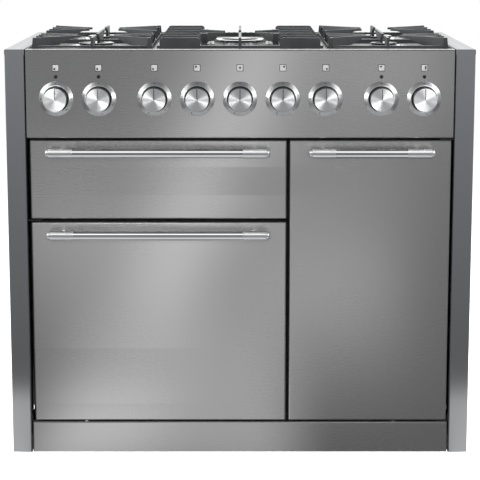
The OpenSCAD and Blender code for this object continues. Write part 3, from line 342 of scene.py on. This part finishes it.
# Mesh helpers
def piece(name, mesh, materials, body, sharp=30):
    """Adds a mesh as a smooth-shaded piece that rides on a body; edges over sharp degrees stay crisp."""
    made = bpy.data.objects.new(name, mesh)
    bpy.context.scene.collection.objects.link(made)
    for material in materials:
        mesh.materials.append(MATS[material])
    for face in mesh.polygons:
        face.use_smooth = True
    mesh.set_sharp_from_angle(angle=math.radians(sharp))
    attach(made, body)
    return made


def to_mesh(name, work):
    bmesh.ops.recalc_face_normals(work, faces=work.faces)
    mesh = bpy.data.meshes.new(name)
    work.to_mesh(mesh)
    work.free()
    return mesh


def rounded(corners, radius, steps=4):
    """Outline with each corner that isn't on the axis cut back into a small arc."""
    outline = []
    count = len(corners)
    for i, corner in enumerate(corners):
        here = Vector(corner)
        before = Vector(corners[i - 1]) if i else None
        after = Vector(corners[i + 1]) if i < count - 1 else None
        if before is None or after is None or radius <= 0:
            outline.append(tuple(here))
            continue
        to_before, to_after = before - here, after - here
        cut = min(radius, to_before.length * 0.45, to_after.length * 0.45)
        start, end = here + to_before.normalized() * cut, here + to_after.normalized() * cut
        for k in range(steps + 1):
            t = k / steps
            outline.append(tuple((1 - t) ** 2 * start + 2 * t * (1 - t) * here + t ** 2 * end))
    return outline


def lathe(work, outline, segments, place, index=0):
    """Turns an outline of (radius, reach) round an axis; place maps radius, angle and reach to a point."""
    rings = []
    for radius, reach in outline:
        if radius < SAME_POINT:
            rings.append([work.verts.new(place(0.0, 0.0, reach))])
        else:
            rings.append([work.verts.new(place(radius, 2 * math.pi * k / segments, reach))
                          for k in range(segments)])
    for first, second in zip(rings, rings[1:]):
        for k in range(segments):
            after = (k + 1) % segments
            corners = [first[k % len(first)], first[after % len(first)],
                       second[after % len(second)], second[k % len(second)]]
            corners = list(dict.fromkeys(corners))
            if len(corners) > 2:
                work.faces.new(corners).material_index = index


def on_front(centre):
    """Place for a lathe whose axis points at the viewer; angle 0 is at 12 o'clock, clockwise."""
    def place(radius, angle, reach):
        return (centre.x + radius * math.sin(angle), centre.y - reach, centre.z + radius * math.cos(angle))
    return place


def along_bar(centre):
    """Place for a lathe whose axis runs along the width."""
    def place(radius, angle, reach):
        return (centre.x + reach, centre.y + radius * math.cos(angle), centre.z + radius * math.sin(angle))
    return place


def plate(work, outline, y, thickness, index=0):
    """Thin flat plate with its face towards the viewer, from an outline of (x, z) points."""
    front = [work.verts.new((x, y - thickness, z)) for x, z in outline]
    back = [work.verts.new((x, y, z)) for x, z in outline]
    faces = [work.faces.new(front), work.faces.new(list(reversed(back)))]
    for k in range(len(outline)):
        after = (k + 1) % len(outline)
        faces.append(work.faces.new([front[k], back[k], back[after], front[after]]))
    for face in faces:
        face.material_index = index


# Knobs
KNOB_SEGMENTS = 128
KNOB_EASE = 0.4 * MM
KNOB_SHARP = 24
DISH_DEPTH = 0.8 * MM


def knob_centre(node):
    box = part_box(node)
    return Vector(((box[0].x + box[1].x) / 2, FRONT_Y, (box[0].z + box[1].z) / 2))


def knob_piece(node, body):
    """Turned knob with a dark flank, a faintly dished face and a sunk pointer line."""
    centre = knob_centre(node)
    radius = (hi(node).z - lo(node).z) / 2 - KNOB_EASE
    face = FRONT_Y - lo(node).y
    base = 5.0 * MM
    rear = hi(node).y - FRONT_Y
    spindle = 4.0 * MM
    is_electric = rear > 0
    rim = radius - 0.4 * MM
    work = bmesh.new()
    start = [(0.0, -rear), (spindle, -rear), (spindle, base)] if is_electric else [(0.0, base)]
    flank = rounded([(radius - 2.5 * MM, base), (radius, base), (radius, face - 0.3 * MM), (rim, face)], 0.5 * MM)
    dish = [(rim * t, face - DISH_DEPTH * (1 - t)) for t in (0.8, 0.6, 0.4, 0.2)]
    lathe(work, start + flank, KNOB_SEGMENTS, on_front(centre), index=1)
    lathe(work, [(rim, face), (rim - 0.6 * MM, face)] + dish + [(0.0, face - DISH_DEPTH)], KNOB_SEGMENTS,
          on_front(centre))
    bmesh.ops.remove_doubles(work, verts=work.verts, dist=SAME_POINT)
    mesh = to_mesh(node + "_turned", work)
    made = piece(node + "_turned", mesh, ["satin", "knob_flank"], body, sharp=KNOB_SHARP)
    cut_pointer(made, centre, radius, face)
    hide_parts(node)


def cut_pointer(made, centre, radius, face):
    """Sinks the pointer groove from the middle to the rim at 12 o'clock."""
    work = bmesh.new()
    half, deep = 0.75 * MM, 2.4 * MM
    outline = [(centre.x - half, centre.z - 0.2 * MM), (centre.x + half, centre.z - 0.2 * MM),
               (centre.x + half, centre.z + radius - 1.2 * MM), (centre.x - half, centre.z + radius - 1.2 * MM)]
    plate(work, outline, centre.y - face + deep, deep + 2 * MM)
    mesh = to_mesh("pointer_cutter", work)
    cutter = bpy.data.objects.new("pointer_cutter", mesh)
    mesh.materials.append(MATS["ink"])
    bpy.context.scene.collection.objects.link(cutter)
    boolean = made.modifiers.new("pointer", "BOOLEAN")
    boolean.operation = "DIFFERENCE"
    boolean.solver = "EXACT"
    boolean.material_mode = "TRANSFER"
    boolean.object = cutter
    depsgraph = bpy.context.evaluated_depsgraph_get()
    cut = bpy.data.meshes.new_from_object(made.evaluated_get(depsgraph))
    made.modifiers.clear()
    made.data = cut
    bpy.data.objects.remove(cutter)
    for face_ in cut.polygons:
        face_.use_smooth = True
    cut.set_sharp_from_angle(angle=math.radians(KNOB_SHARP))


# Dial rings
CONE_IN, CONE_OUT = 28.6 * MM, 36.8 * MM
CONE_TOP, CONE_EDGE = 4.5 * MM, 1.0 * MM
BEZEL_BORE = 27.0 * MM
WELL_R = 6.0 * MM
MARK_R = 32.6 * MM


def cone_height(radius):
    return CONE_TOP - (radius - CONE_IN) / (CONE_OUT - CONE_IN) * (CONE_TOP - CONE_EDGE)


def bezel_piece(number, node):
    """Conical dial ring; the floor of the bore under the knob is coloured near-black with the ink material as painted
    shade.
    """
    centre = knob_centre(node)
    work = bmesh.new()
    ring = rounded([(CONE_OUT, 0.0), (CONE_OUT, CONE_EDGE), (CONE_IN, CONE_TOP), (CONE_IN - 1.0 * MM, CONE_TOP),
                    (BEZEL_BORE, CONE_TOP - 0.6 * MM), (BEZEL_BORE, CONE_EDGE)], 0.35 * MM)
    lathe(work, ring, KNOB_SEGMENTS, on_front(centre))
    # Painted shade: the floor of the bore round the knob takes the near-black ink.
    painted_shade_well = [(BEZEL_BORE, CONE_EDGE), (WELL_R, CONE_EDGE), (WELL_R, 0.0), (CONE_OUT, 0.0)]
    lathe(work, painted_shade_well, KNOB_SEGMENTS, on_front(centre), index=1)
    bmesh.ops.remove_doubles(work, verts=work.verts, dist=SAME_POINT)
    mesh = to_mesh("dial_ring_%d" % number, work)
    made = piece("dial_ring_%d" % number, mesh, ["satin_ring", "ink"], "root")
    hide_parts("knob_bezels")


def flame(size):
    """Outline of a flame drop, a few points with its tip up."""
    points = []
    for k in range(14):
        a = 2 * math.pi * k / 14
        width = math.sin(a) * (0.5 + 0.5 * math.cos(a / 2) ** 2)
        points.append((size * 0.42 * width, -size * 0.5 * math.cos(a) + (0.25 * size if k == 7 else 0.0)))
    return points


def dot(size):
    return [(size / 2 * math.sin(2 * math.pi * k / 12), size / 2 * math.cos(2 * math.pi * k / 12))
            for k in range(12)]


def bar(width, height):
    return [(-width / 2, -height / 2), (width / 2, -height / 2), (width / 2, height / 2), (-width / 2, height / 2)]


def glyph_mesh(text, size):
    """Triangles of a short number, centred, as ((x, y) points, faces)."""
    curve = bpy.data.curves.new("glyph", "FONT")
    curve.body, curve.size = text, size
    curve.align_x, curve.align_y = "CENTER", "CENTER"
    curve.resolution_u = 3
    shown = bpy.data.objects.new("glyph", curve)
    bpy.context.scene.collection.objects.link(shown)
    mesh = bpy.data.meshes.new_from_object(shown.evaluated_get(bpy.context.evaluated_depsgraph_get()))
    points = [(v.co.x, v.co.y) for v in mesh.vertices]
    faces = [tuple(f.vertices) for f in mesh.polygons]
    bpy.data.objects.remove(shown)
    bpy.data.curves.remove(curve)
    bpy.data.meshes.remove(mesh)
    return points, faces


def wrap_on_cone(work, centre, points, faces, clock):
    """Lays flat points on the dial cone, their middle at clock degrees from 12 o'clock, top outwards."""
    lift = 0.03 * MM
    turn = math.radians(clock)
    verts = []
    for x, y in points:
        radius = MARK_R + y
        angle = turn + x / MARK_R
        verts.append(work.verts.new((centre.x + radius * math.sin(angle), centre.y - cone_height(radius) - lift,
                                     centre.z + radius * math.cos(angle))))
    for face in faces:
        work.faces.new([verts[k] for k in face])


def dial_marks(number, node, marks):
    """Printed marks of one dial: outlines or numbers at their clock angles."""
    centre = knob_centre(node)
    work = bmesh.new()
    for clock, mark in marks:
        if isinstance(mark, str):
            points, faces = glyph_mesh(mark, 3.3 * MM)
        else:
            points, faces = mark, [tuple(range(len(mark)))]
        wrap_on_cone(work, centre, points, faces, clock)
    mesh = to_mesh("dial_marks_%d" % number, work)
    piece("dial_marks_%d" % number, mesh, ["ink"], "root")


def dial_layouts():
    """The marks of the nine dials, from left to right."""
    off = (0, dot(2.2 * MM))
    tick = bar(0.5 * MM, 2.6 * MM)
    functions = [off, (45, bar(3.2 * MM, 0.7 * MM)), (90, dot(3.0 * MM)), (135, bar(2.6 * MM, 2.6 * MM)),
                 (180, bar(0.8 * MM, 3.2 * MM)), (225, flame(3.0 * MM)), (270, bar(3.2 * MM, 1.4 * MM)),
                 (315, dot(1.6 * MM))]
    heats = [off] + [(56 * k, str(50 * k)) for k in range(1, 6)] + [(56 * k - 28, tick) for k in range(1, 6)]
    steps = [off] + [(50 * k, str(k)) for k in range(1, 6)] + [(50 * k - 25, dot(0.9 * MM)) for k in range(1, 6)]
    gas = [off, (-90, flame(3.8 * MM)), (-225, flame(2.6 * MM)), (-158, flame(3.2 * MM))]
    gas += [(-90 - 17 * k, dot(0.8 * MM)) for k in (1, 2, 3, 5, 6, 7)]
    return [functions, heats] + [gas] * 5 + [steps, heats]


# Printed squares over the knobs
SYMBOL_Z = RIM_Z - 39 * MM
SYMBOL_HALF = 7.3 * MM
EDGE_T, PRINT_T = 0.05 * MM, 0.03 * MM


def rounded_square(half, radius, steps=4):
    points = []
    for quarter, (sx, sz) in enumerate(((1, 1), (-1, 1), (-1, -1), (1, -1))):
        for k in range(steps + 1):
            a = math.radians(90 * quarter + 90 * k / steps)
            points.append((sx * (half - radius) + radius * math.cos(a), sz * (half - radius) + radius * math.sin(a)))
    return points


def symbol(number, node, mark):
    """Dark-edged pale square with a dark mark in it, which shows the burner or oven of its knob."""
    centre = knob_centre(node)

    def moved(points, dx=0.0, dz=0.0):
        return [(centre.x + x + dx, SYMBOL_Z + z + dz) for x, z in points]

    work = bmesh.new()
    plate(work, moved(rounded_square(SYMBOL_HALF, 1.3 * MM)), FRONT_Y, EDGE_T)
    plate(work, moved(rounded_square(SYMBOL_HALF - 1.2 * MM, 0.6 * MM)), FRONT_Y - EDGE_T, PRINT_T, index=1)
    outline, dx, dz = mark
    plate(work, moved(outline, dx, dz), FRONT_Y - EDGE_T - PRINT_T, PRINT_T)
    mesh = to_mesh("symbol_%d" % number, work)
    piece("symbol_%d" % number, mesh, ["ink", "pale_ink"], "root")


def symbol_marks():
    near, spot = 2.5 * MM, dot(4.6 * MM)
    tall = bar(3.2 * MM, 8.0 * MM)
    return [(spot, -near, -near), (spot, -near, -near), (spot, -near, -near), (spot, -near, near), (spot, 0.0, 0.0),
            (spot, near, near), (spot, near, -near), (bar(5.0 * MM, 2.8 * MM), -1.2 * MM, near), (tall, near, 0.0)]


def controls():
    layouts, marks = dial_layouts(), symbol_marks()
    for i, (node, body) in enumerate(zip(KNOB_NODES, KNOB_BODIES)):
        number = i + 1
        knob_piece(node, body)
        bezel_piece(number, node)
        dial_marks(number, node, layouts[i])
        symbol(number, node, marks[i])


# Handles
BAR_R, SLEEVE_R = 10.3 * MM, 10.8 * MM
SLEEVE_L, TIP_L = 51.0 * MM, 7.0 * MM
POST_R = 6.0 * MM
HANDLE_SEGMENTS, POST_SEGMENTS = 64, 48
HANDLE_SHARP = 28


def sleeve_outline():
    """Radius and place along a handle's end: narrow domed tip, groove, then the sleeve to its flat end."""
    end = TIP_L + SLEEVE_L
    tip = [(0.0, 0.0), (SLEEVE_R * 0.42, 0.1 * MM), (SLEEVE_R * 0.6, 0.15 * TIP_L), (SLEEVE_R * 0.7, 0.35 * TIP_L),
           (SLEEVE_R * 0.76, 0.62 * TIP_L), (SLEEVE_R * 0.77, TIP_L - 1.1 * MM), (SLEEVE_R * 0.68, TIP_L - 0.8 * MM),
           (SLEEVE_R * 0.68, TIP_L + 0.1 * MM), (SLEEVE_R - 0.5 * MM, TIP_L + 0.2 * MM), (SLEEVE_R, TIP_L + 0.7 * MM)]
    return tip + [(SLEEVE_R, end - 0.4 * MM), (SLEEVE_R - 0.3 * MM, end), (0.0, end)]


def handle(node, body):
    """Rail handle: polished bar, and satin end sleeves on two posts."""
    low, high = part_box(node)
    length = high.x - low.x
    centre = Vector((low.x, low.y + SLEEVE_R, (low.z + high.z) / 2))
    work = bmesh.new()
    inset = TIP_L + SLEEVE_L - 2.0 * MM
    bar_outline = [(0.0, inset), (BAR_R, inset), (BAR_R, length - inset), (0.0, length - inset)]
    lathe(work, bar_outline, HANDLE_SEGMENTS, along_bar(centre))
    made = piece(node + "_rail", to_mesh(node + "_rail", work), ["chrome"], body, sharp=HANDLE_SHARP)
    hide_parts(node)
    work = bmesh.new()
    left = sleeve_outline()
    lathe(work, left, HANDLE_SEGMENTS, along_bar(centre))
    lathe(work, [(radius, length - reach) for radius, reach in reversed(left)], HANDLE_SEGMENTS, along_bar(centre))
    for x in (low.x + TIP_L + SLEEVE_L / 2, high.x - TIP_L - SLEEVE_L / 2):
        post = [(0.0, 0.0), (POST_R, 0.0), (POST_R, FRONT_Y - centre.y)]
        lathe(work, post, POST_SEGMENTS, on_front(Vector((x, FRONT_Y, centre.z))))
    made = piece(node + "_sleeves", to_mesh(node + "_sleeves", work), ["satin_tube"], body,
                 sharp=HANDLE_SHARP)
    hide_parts(node)


def handles():
    handle("main_door_handle", "main_door")
    handle("tall_door_handle", "tall_door")
    handle("grill_handle", "grill_drawer")


# Softened castings
CAST_EDGE = 0.9 * MM


def softened(node, body, width, material):
    """The node's own shape with its edges rounded by width, as a casting's are."""
    source = NODES[node].data
    work = bmesh.new()
    work.from_mesh(source)
    bmesh.ops.remove_doubles(work, verts=work.verts, dist=2e-6)
    bmesh.ops.dissolve_limit(work, angle_limit=math.radians(1.0), verts=work.verts, edges=work.edges)
    mesh = to_mesh(node + "_cast", work)
    made = piece(node + "_cast", mesh, [material], body)
    bevel = made.modifiers.new("edge", "BEVEL")
    bevel.width, bevel.segments = width, 2
    bevel.limit_method, bevel.angle_limit = "ANGLE", math.radians(35)
    bevel.harden_normals = False
    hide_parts(node)


def castings():
    for side in ("left", "centre", "right"):
        softened("pan_support_" + side, "support_" + side, CAST_EDGE, "iron")


dress_cad_nodes()
controls()
handles()
castings()


# Floor, lights and camera
def stage_floor():
    half = 7.0
    mesh = bpy.data.meshes.new("floor")
    mesh.from_pydata([(-half, -half, 0), (half, -half, 0), (half, half, 0), (-half, half, 0)], [], [(0, 1, 2, 3)])
    floor = bpy.data.objects.new("floor", mesh)
    bpy.context.scene.collection.objects.link(floor)
    made = Shader("pale_floor", (0.94, 0.94, 0.938), 0.0, 0.7)
    cloud = made.noise(0.8, made.position(), detail=2.0)
    made.colour_from(made.ranged(cloud, 0.0, 1.0), (0.93, 0.93, 0.928), (0.95, 0.95, 0.948))
    mesh.materials.append(made.mat)
    floor.visible_glossy = False


def faded_share(tree, place, share):
    """Strength factor that fades out over a share of a light's side, at both of its ends."""
    ends = []
    for flip in (False, True):
        spot = place
        if flip:
            turned_round = tree.nodes.new("ShaderNodeMath")
            turned_round.operation = "SUBTRACT"
            turned_round.inputs[0].default_value = 1.0
            tree.links.new(place, turned_round.inputs[1])
            spot = turned_round.outputs[0]
        ramp = tree.nodes.new("ShaderNodeMapRange")
        ramp.interpolation_type = "SMOOTHSTEP"
        ramp.inputs["From Max"].default_value = share
        tree.links.new(spot, ramp.inputs["Value"])
        ends.append(ramp.outputs["Result"])
    return multiplied(tree, *ends)


def multiplied(tree, first, second):
    made = tree.nodes.new("ShaderNodeMath")
    made.operation = "MULTIPLY"
    tree.links.new(first, made.inputs[0])
    tree.links.new(second, made.inputs[1])
    return made.outputs[0]


def fade_edges(data, fade):
    """Lets a light fade out towards its edges, so that its reflection has none."""
    data.use_nodes = True
    tree = data.node_tree
    emission = next(n for n in tree.nodes if n.type == "EMISSION")
    place = tree.nodes.new("ShaderNodeNewGeometry")
    split = tree.nodes.new("ShaderNodeSeparateXYZ")
    tree.links.new(place.outputs["Parametric"], split.inputs["Vector"])
    across = faded_share(tree, split.outputs["X"], fade[0])
    along = faded_share(tree, split.outputs["Y"], fade[1])
    tree.links.new(multiplied(tree, across, along), emission.inputs["Strength"])


def softbox(name, place, target, size, radiance, lean=0.0, only=None, fade=None, tint=None, casters=None):
    """Soft rectangular light; lean tips it to the right, only limits what it lights, fade softens its edges."""
    data = bpy.data.lights.new(name, "AREA")
    data.shape = "RECTANGLE"
    data.size, data.size_y = size
    data.energy = radiance * math.pi * size[0] * size[1]
    if tint:
        data.color = tint
    if fade:
        fade_edges(data, fade)
    lamp = bpy.data.objects.new(name, data)
    lamp.location = place
    facing = (Vector(target) - Vector(place)).to_track_quat("-Z", "Y").to_matrix()
    lamp.rotation_euler = (facing @ Matrix.Rotation(-lean, 3, "Z")).to_euler()
    lamp.visible_camera = False
    bpy.context.scene.collection.objects.link(lamp)
    if only:
        lamp.light_linking.receiver_collection = gathered(name + "_receivers", only)
    if casters:
        lamp.light_linking.blocker_collection = gathered(name + "_casters", casters)


def gathered(name, members):
    made = bpy.data.collections.new(name)
    for member in members:
        made.objects.link(member)
    return made


# Grey of the studio in front of the cooker, by the sine of the direction's height
STUDIO_GREYS = ((-0.99, 0.2), (-0.45, 0.08), (-0.3, 0.09), (-0.23, 0.17), (-0.13, 0.22), (-0.06, 0.33), (0.05, 0.27),
                (0.18, 0.18), (0.45, 0.2), (0.7, 0.12), (0.99, 0.12))


def studio_world():
    """White surroundings for the camera and the diffuse light, a dim grey studio for the reflections."""
    world = bpy.data.worlds.new("studio")
    bpy.context.scene.world = world
    world.use_nodes = True
    tree = world.node_tree
    tree.nodes.clear()
    out = tree.nodes.new("ShaderNodeOutputWorld")
    white = tree.nodes.new("ShaderNodeBackground")
    white.inputs["Color"].default_value = (1.0, 1.0, 1.0, 1.0)
    white.inputs["Strength"].default_value = 1.0
    place = tree.nodes.new("ShaderNodeTexCoord")
    split = tree.nodes.new("ShaderNodeSeparateXYZ")
    tree.links.new(place.outputs["Generated"], split.inputs["Vector"])
    height = tree.nodes.new("ShaderNodeMapRange")
    height.inputs["From Min"].default_value = -1.0
    height.inputs["From Max"].default_value = 1.0
    tree.links.new(split.outputs["Z"], height.inputs["Value"])
    levels = tree.nodes.new("ShaderNodeValToRGB")
    levels.color_ramp.interpolation = "EASE"
    stops = levels.color_ramp.elements
    for sine, grey in STUDIO_GREYS:
        stop = stops.new((sine + 1) / 2)
        stop.color = (grey * 0.98, grey, grey * 1.02, 1.0)
    stops.remove(stops[0])
    stops.remove(stops[-1])
    tree.links.new(height.outputs["Result"], levels.inputs["Fac"])
    behind = tree.nodes.new("ShaderNodeMapRange")
    behind.inputs["From Min"].default_value = -0.05
    behind.inputs["From Max"].default_value = 0.35
    behind.interpolation_type = "SMOOTHSTEP"
    tree.links.new(split.outputs["Y"], behind.inputs["Value"])
    shade = tree.nodes.new("ShaderNodeMix")
    shade.data_type = "RGBA"
    shade.inputs["B"].default_value = (0.88, 0.88, 0.88, 1.0)
    tree.links.new(levels.outputs["Color"], shade.inputs["A"])
    tree.links.new(behind.outputs["Result"], shade.inputs["Factor"])
    dim = tree.nodes.new("ShaderNodeBackground")
    tree.links.new(shade.outputs["Result"], dim.inputs["Color"])
    path = tree.nodes.new("ShaderNodeLightPath")
    mix = tree.nodes.new("ShaderNodeMixShader")
    tree.links.new(path.outputs["Is Glossy Ray"], mix.inputs["Fac"])
    tree.links.new(white.outputs[0], mix.inputs[1])
    tree.links.new(dim.outputs[0], mix.inputs[2])
    tree.links.new(mix.outputs[0], out.inputs["Surface"])


FRONT_LIGHT_AWAY = 1.2
FLOOR_PATCH_Z = 0.004


def facing_front(name, centre, size, radiance, lean, only, fade):
    """Softbox parallel to the doors, where they mirror it at centre as (across, height)."""
    softbox(name, (centre[0], FRONT_Y - FRONT_LIGHT_AWAY, centre[1]), (centre[0], FRONT_Y, centre[1]),
            size, radiance, lean, only, fade)


def on_floor(name, across, ahead, radiance, only, fade, tint=None):
    """Bright patch of floor in front of the cooker, as its low parts mirror it."""
    place = Vector(((across[0] + across[1]) / 2, FRONT_Y - (ahead[0] + ahead[1]) / 2, FLOOR_PATCH_Z))
    size = (across[1] - across[0], ahead[1] - ahead[0])
    softbox(name, place, place + Vector((0, 0, 1)), size, radiance, 0.0, only, fade, tint)


def studio_lights():
    made = bpy.data.objects
    floor = [made["floor"]]
    trims = [NODES["side_panel_left"], NODES["side_panel_right"]]
    fronts = [NODES[part["node"]] for part in frame["record"]["subparts"] if part["material_slot"] == "steel"]
    dials = [part for part in made if part.name.endswith("_turned") or "dial_ring" in part.name]
    sleeves = [part for part in made if part.name.endswith("_sleeves")]
    rails = sleeves + [part for part in made if part.name.endswith("_rail")]
    grates = [part for part in made if part.name.endswith("_cast")]
    caps = [NODES["burner_caps"]]
    softbox("overhead", (0.0, 0.9, 2.4), (0.0, 0.1, 0.9), (2.0, 1.0), 1.6)
    softbox("left_side", (-1.5, FRONT_Y - 0.7, 1.7), (-0.3, FRONT_Y, 0.8), (0.9, 1.3), 2.2)
    softbox("right_side", (1.5, FRONT_Y - 0.7, 1.7), (0.3, FRONT_Y, 0.8), (0.9, 1.3), 2.2)
    softbox("grate_top", (0.0, 1.2, 2.9), (0.0, 0.0, 0.92), (1.6, 1.0), 30, only=grates)
    softbox("grate_left", (-1.9, -0.9, 1.3), (-0.3, 0.0, 0.92), (0.6, 0.6), 14, only=grates)
    softbox("grate_right", (1.9, -0.9, 1.3), (0.3, 0.0, 0.92), (0.6, 0.6), 5, only=grates)
    softbox("cap_sheen", (0.0, REAR_Y + 2.0, 1.12), (0.0, 0.0, 0.95), (2.2, 0.5), 0.6, only=caps, casters=caps)

    lean = math.radians(25)
    facing_front("front_band", (-0.075, 0.511), (0.27, 1.2), 0.88, lean, fronts, (0.3, 0.15))
    facing_front("front_band_top", (0.045, 0.83), (0.34, 0.2), 2.0, lean, fronts, (0.4, 0.4))
    facing_front("front_left", (-0.52, 0.3), (0.5, 0.6), 0.36, 0.0, fronts, (0.4, 0.4))
    facing_front("front_wide", (0.26, 0.13), (0.55, 0.3), 0.55, 0.0, fronts, (0.3, 0.3))
    facing_front("front_right", (0.3, 0.32), (0.7, 0.6), 0.15, 0.0, fronts, (0.4, 0.4))
    facing_front("front_high", (0.42, 0.78), (0.5, 0.26), 0.6, 0.0, fronts, (0.3, 0.3))
    upper_doors = [NODES["grill_front_panel"], NODES["tall_door_panel"]]
    facing_front("upper_sky", (-0.15, 1.0), (1.2, 0.24), 2.0, 0.0, upper_doors, (0.3, 0.4))
    facing_front("main_sky", (-0.25, 0.82), (0.9, 0.26), 6.0, 0.0, [NODES["main_door_panel"]], (0.3, 0.4))
    for name, side in (("dial_left", -1), ("dial_right", 1)):
        softbox(name, (side * 0.62, FRONT_Y - 1.0, 0.885), (0.0, FRONT_Y, 0.8), (0.4, 0.14), 11, only=dials)
    facing_front("dial_fill", (0.0, 0.7), (2.6, 1.0), 0.28, 0.0, dials, (0.2, 0.3))
    on_floor("dial_floor", (-1.2, 1.2), (0.2, 1.7), 0.3, dials, (0.2, 0.3))
    softbox("rail_sky", (0.0, FRONT_Y - 1.05, 1.72), (0.0, FRONT_Y, 0.67), (2.6, 1.1), 1.35, only=rails,
            fade=(0.05, 0.35))
    softbox("sleeve_top", (0.0, FRONT_Y + 0.1, 1.6), (0.0, FRONT_Y, 0.67), (1.6, 0.8), 0.55, only=sleeves)

    on_floor("rail_floor", (-1.3, 1.3), (0.12, 1.3), 0.6, rails, (0.05, 0.25))
    on_floor("floor_left", (-0.56, 0.22), (-0.4, 1.7), 0.42, fronts, (0.25, 0.3))
    on_floor("floor_band", (-0.52, -0.08), (-0.3, 1.9), 0.22, fronts, (0.45, 0.35))
    on_floor("floor_near_left", (-0.65, -0.15), (-0.5, 0.8), 0.12, fronts, (0.45, 0.45))
    on_floor("floor_right", (-0.1, 0.6), (0.5, 2.2), 0.14, fronts, (0.35, 0.35))
    warm = (1.0, 0.985, 0.965)
    on_floor("trim_floor_left", (-0.95, -0.459), (-0.2, 0.62), 0.5, trims, (0.02, 0.2), warm)
    on_floor("trim_floor_right", (0.459, 0.95), (-0.2, 0.62), 0.5, trims, (0.02, 0.2), warm)
    softbox("floor_wash", (0.0, -0.6, 3.2), (0.0, -0.6, 0.0), (4.0, 4.0), 5.5, only=floor, casters=floor)


def photo_camera():
    """Camera square to the front, above the hob, pitched down; its shift stays small."""
    distance, height, pitch, focal_px, shift_px = 3.5, 1.157, math.radians(9.47), 1650.0, -36.0
    image_px, sensor = 480.0, 36.0
    data = bpy.data.cameras.new("camera")
    data.sensor_width = sensor
    data.lens = focal_px / image_px * sensor
    data.shift_y = shift_px / image_px
    data.clip_start, data.clip_end = 0.1, 60.0
    camera = bpy.data.objects.new("camera", data)
    camera.location = (0.0, FRONT_Y - distance, height)
    camera.rotation_euler = (math.radians(90) - pitch, 0.0, 0.0)
    bpy.context.scene.collection.objects.link(camera)
    bpy.context.scene.camera = camera


stage_floor()
studio_world()
studio_lights()
photo_camera()
bpy.context.scene.view_settings.view_transform = "Standard"
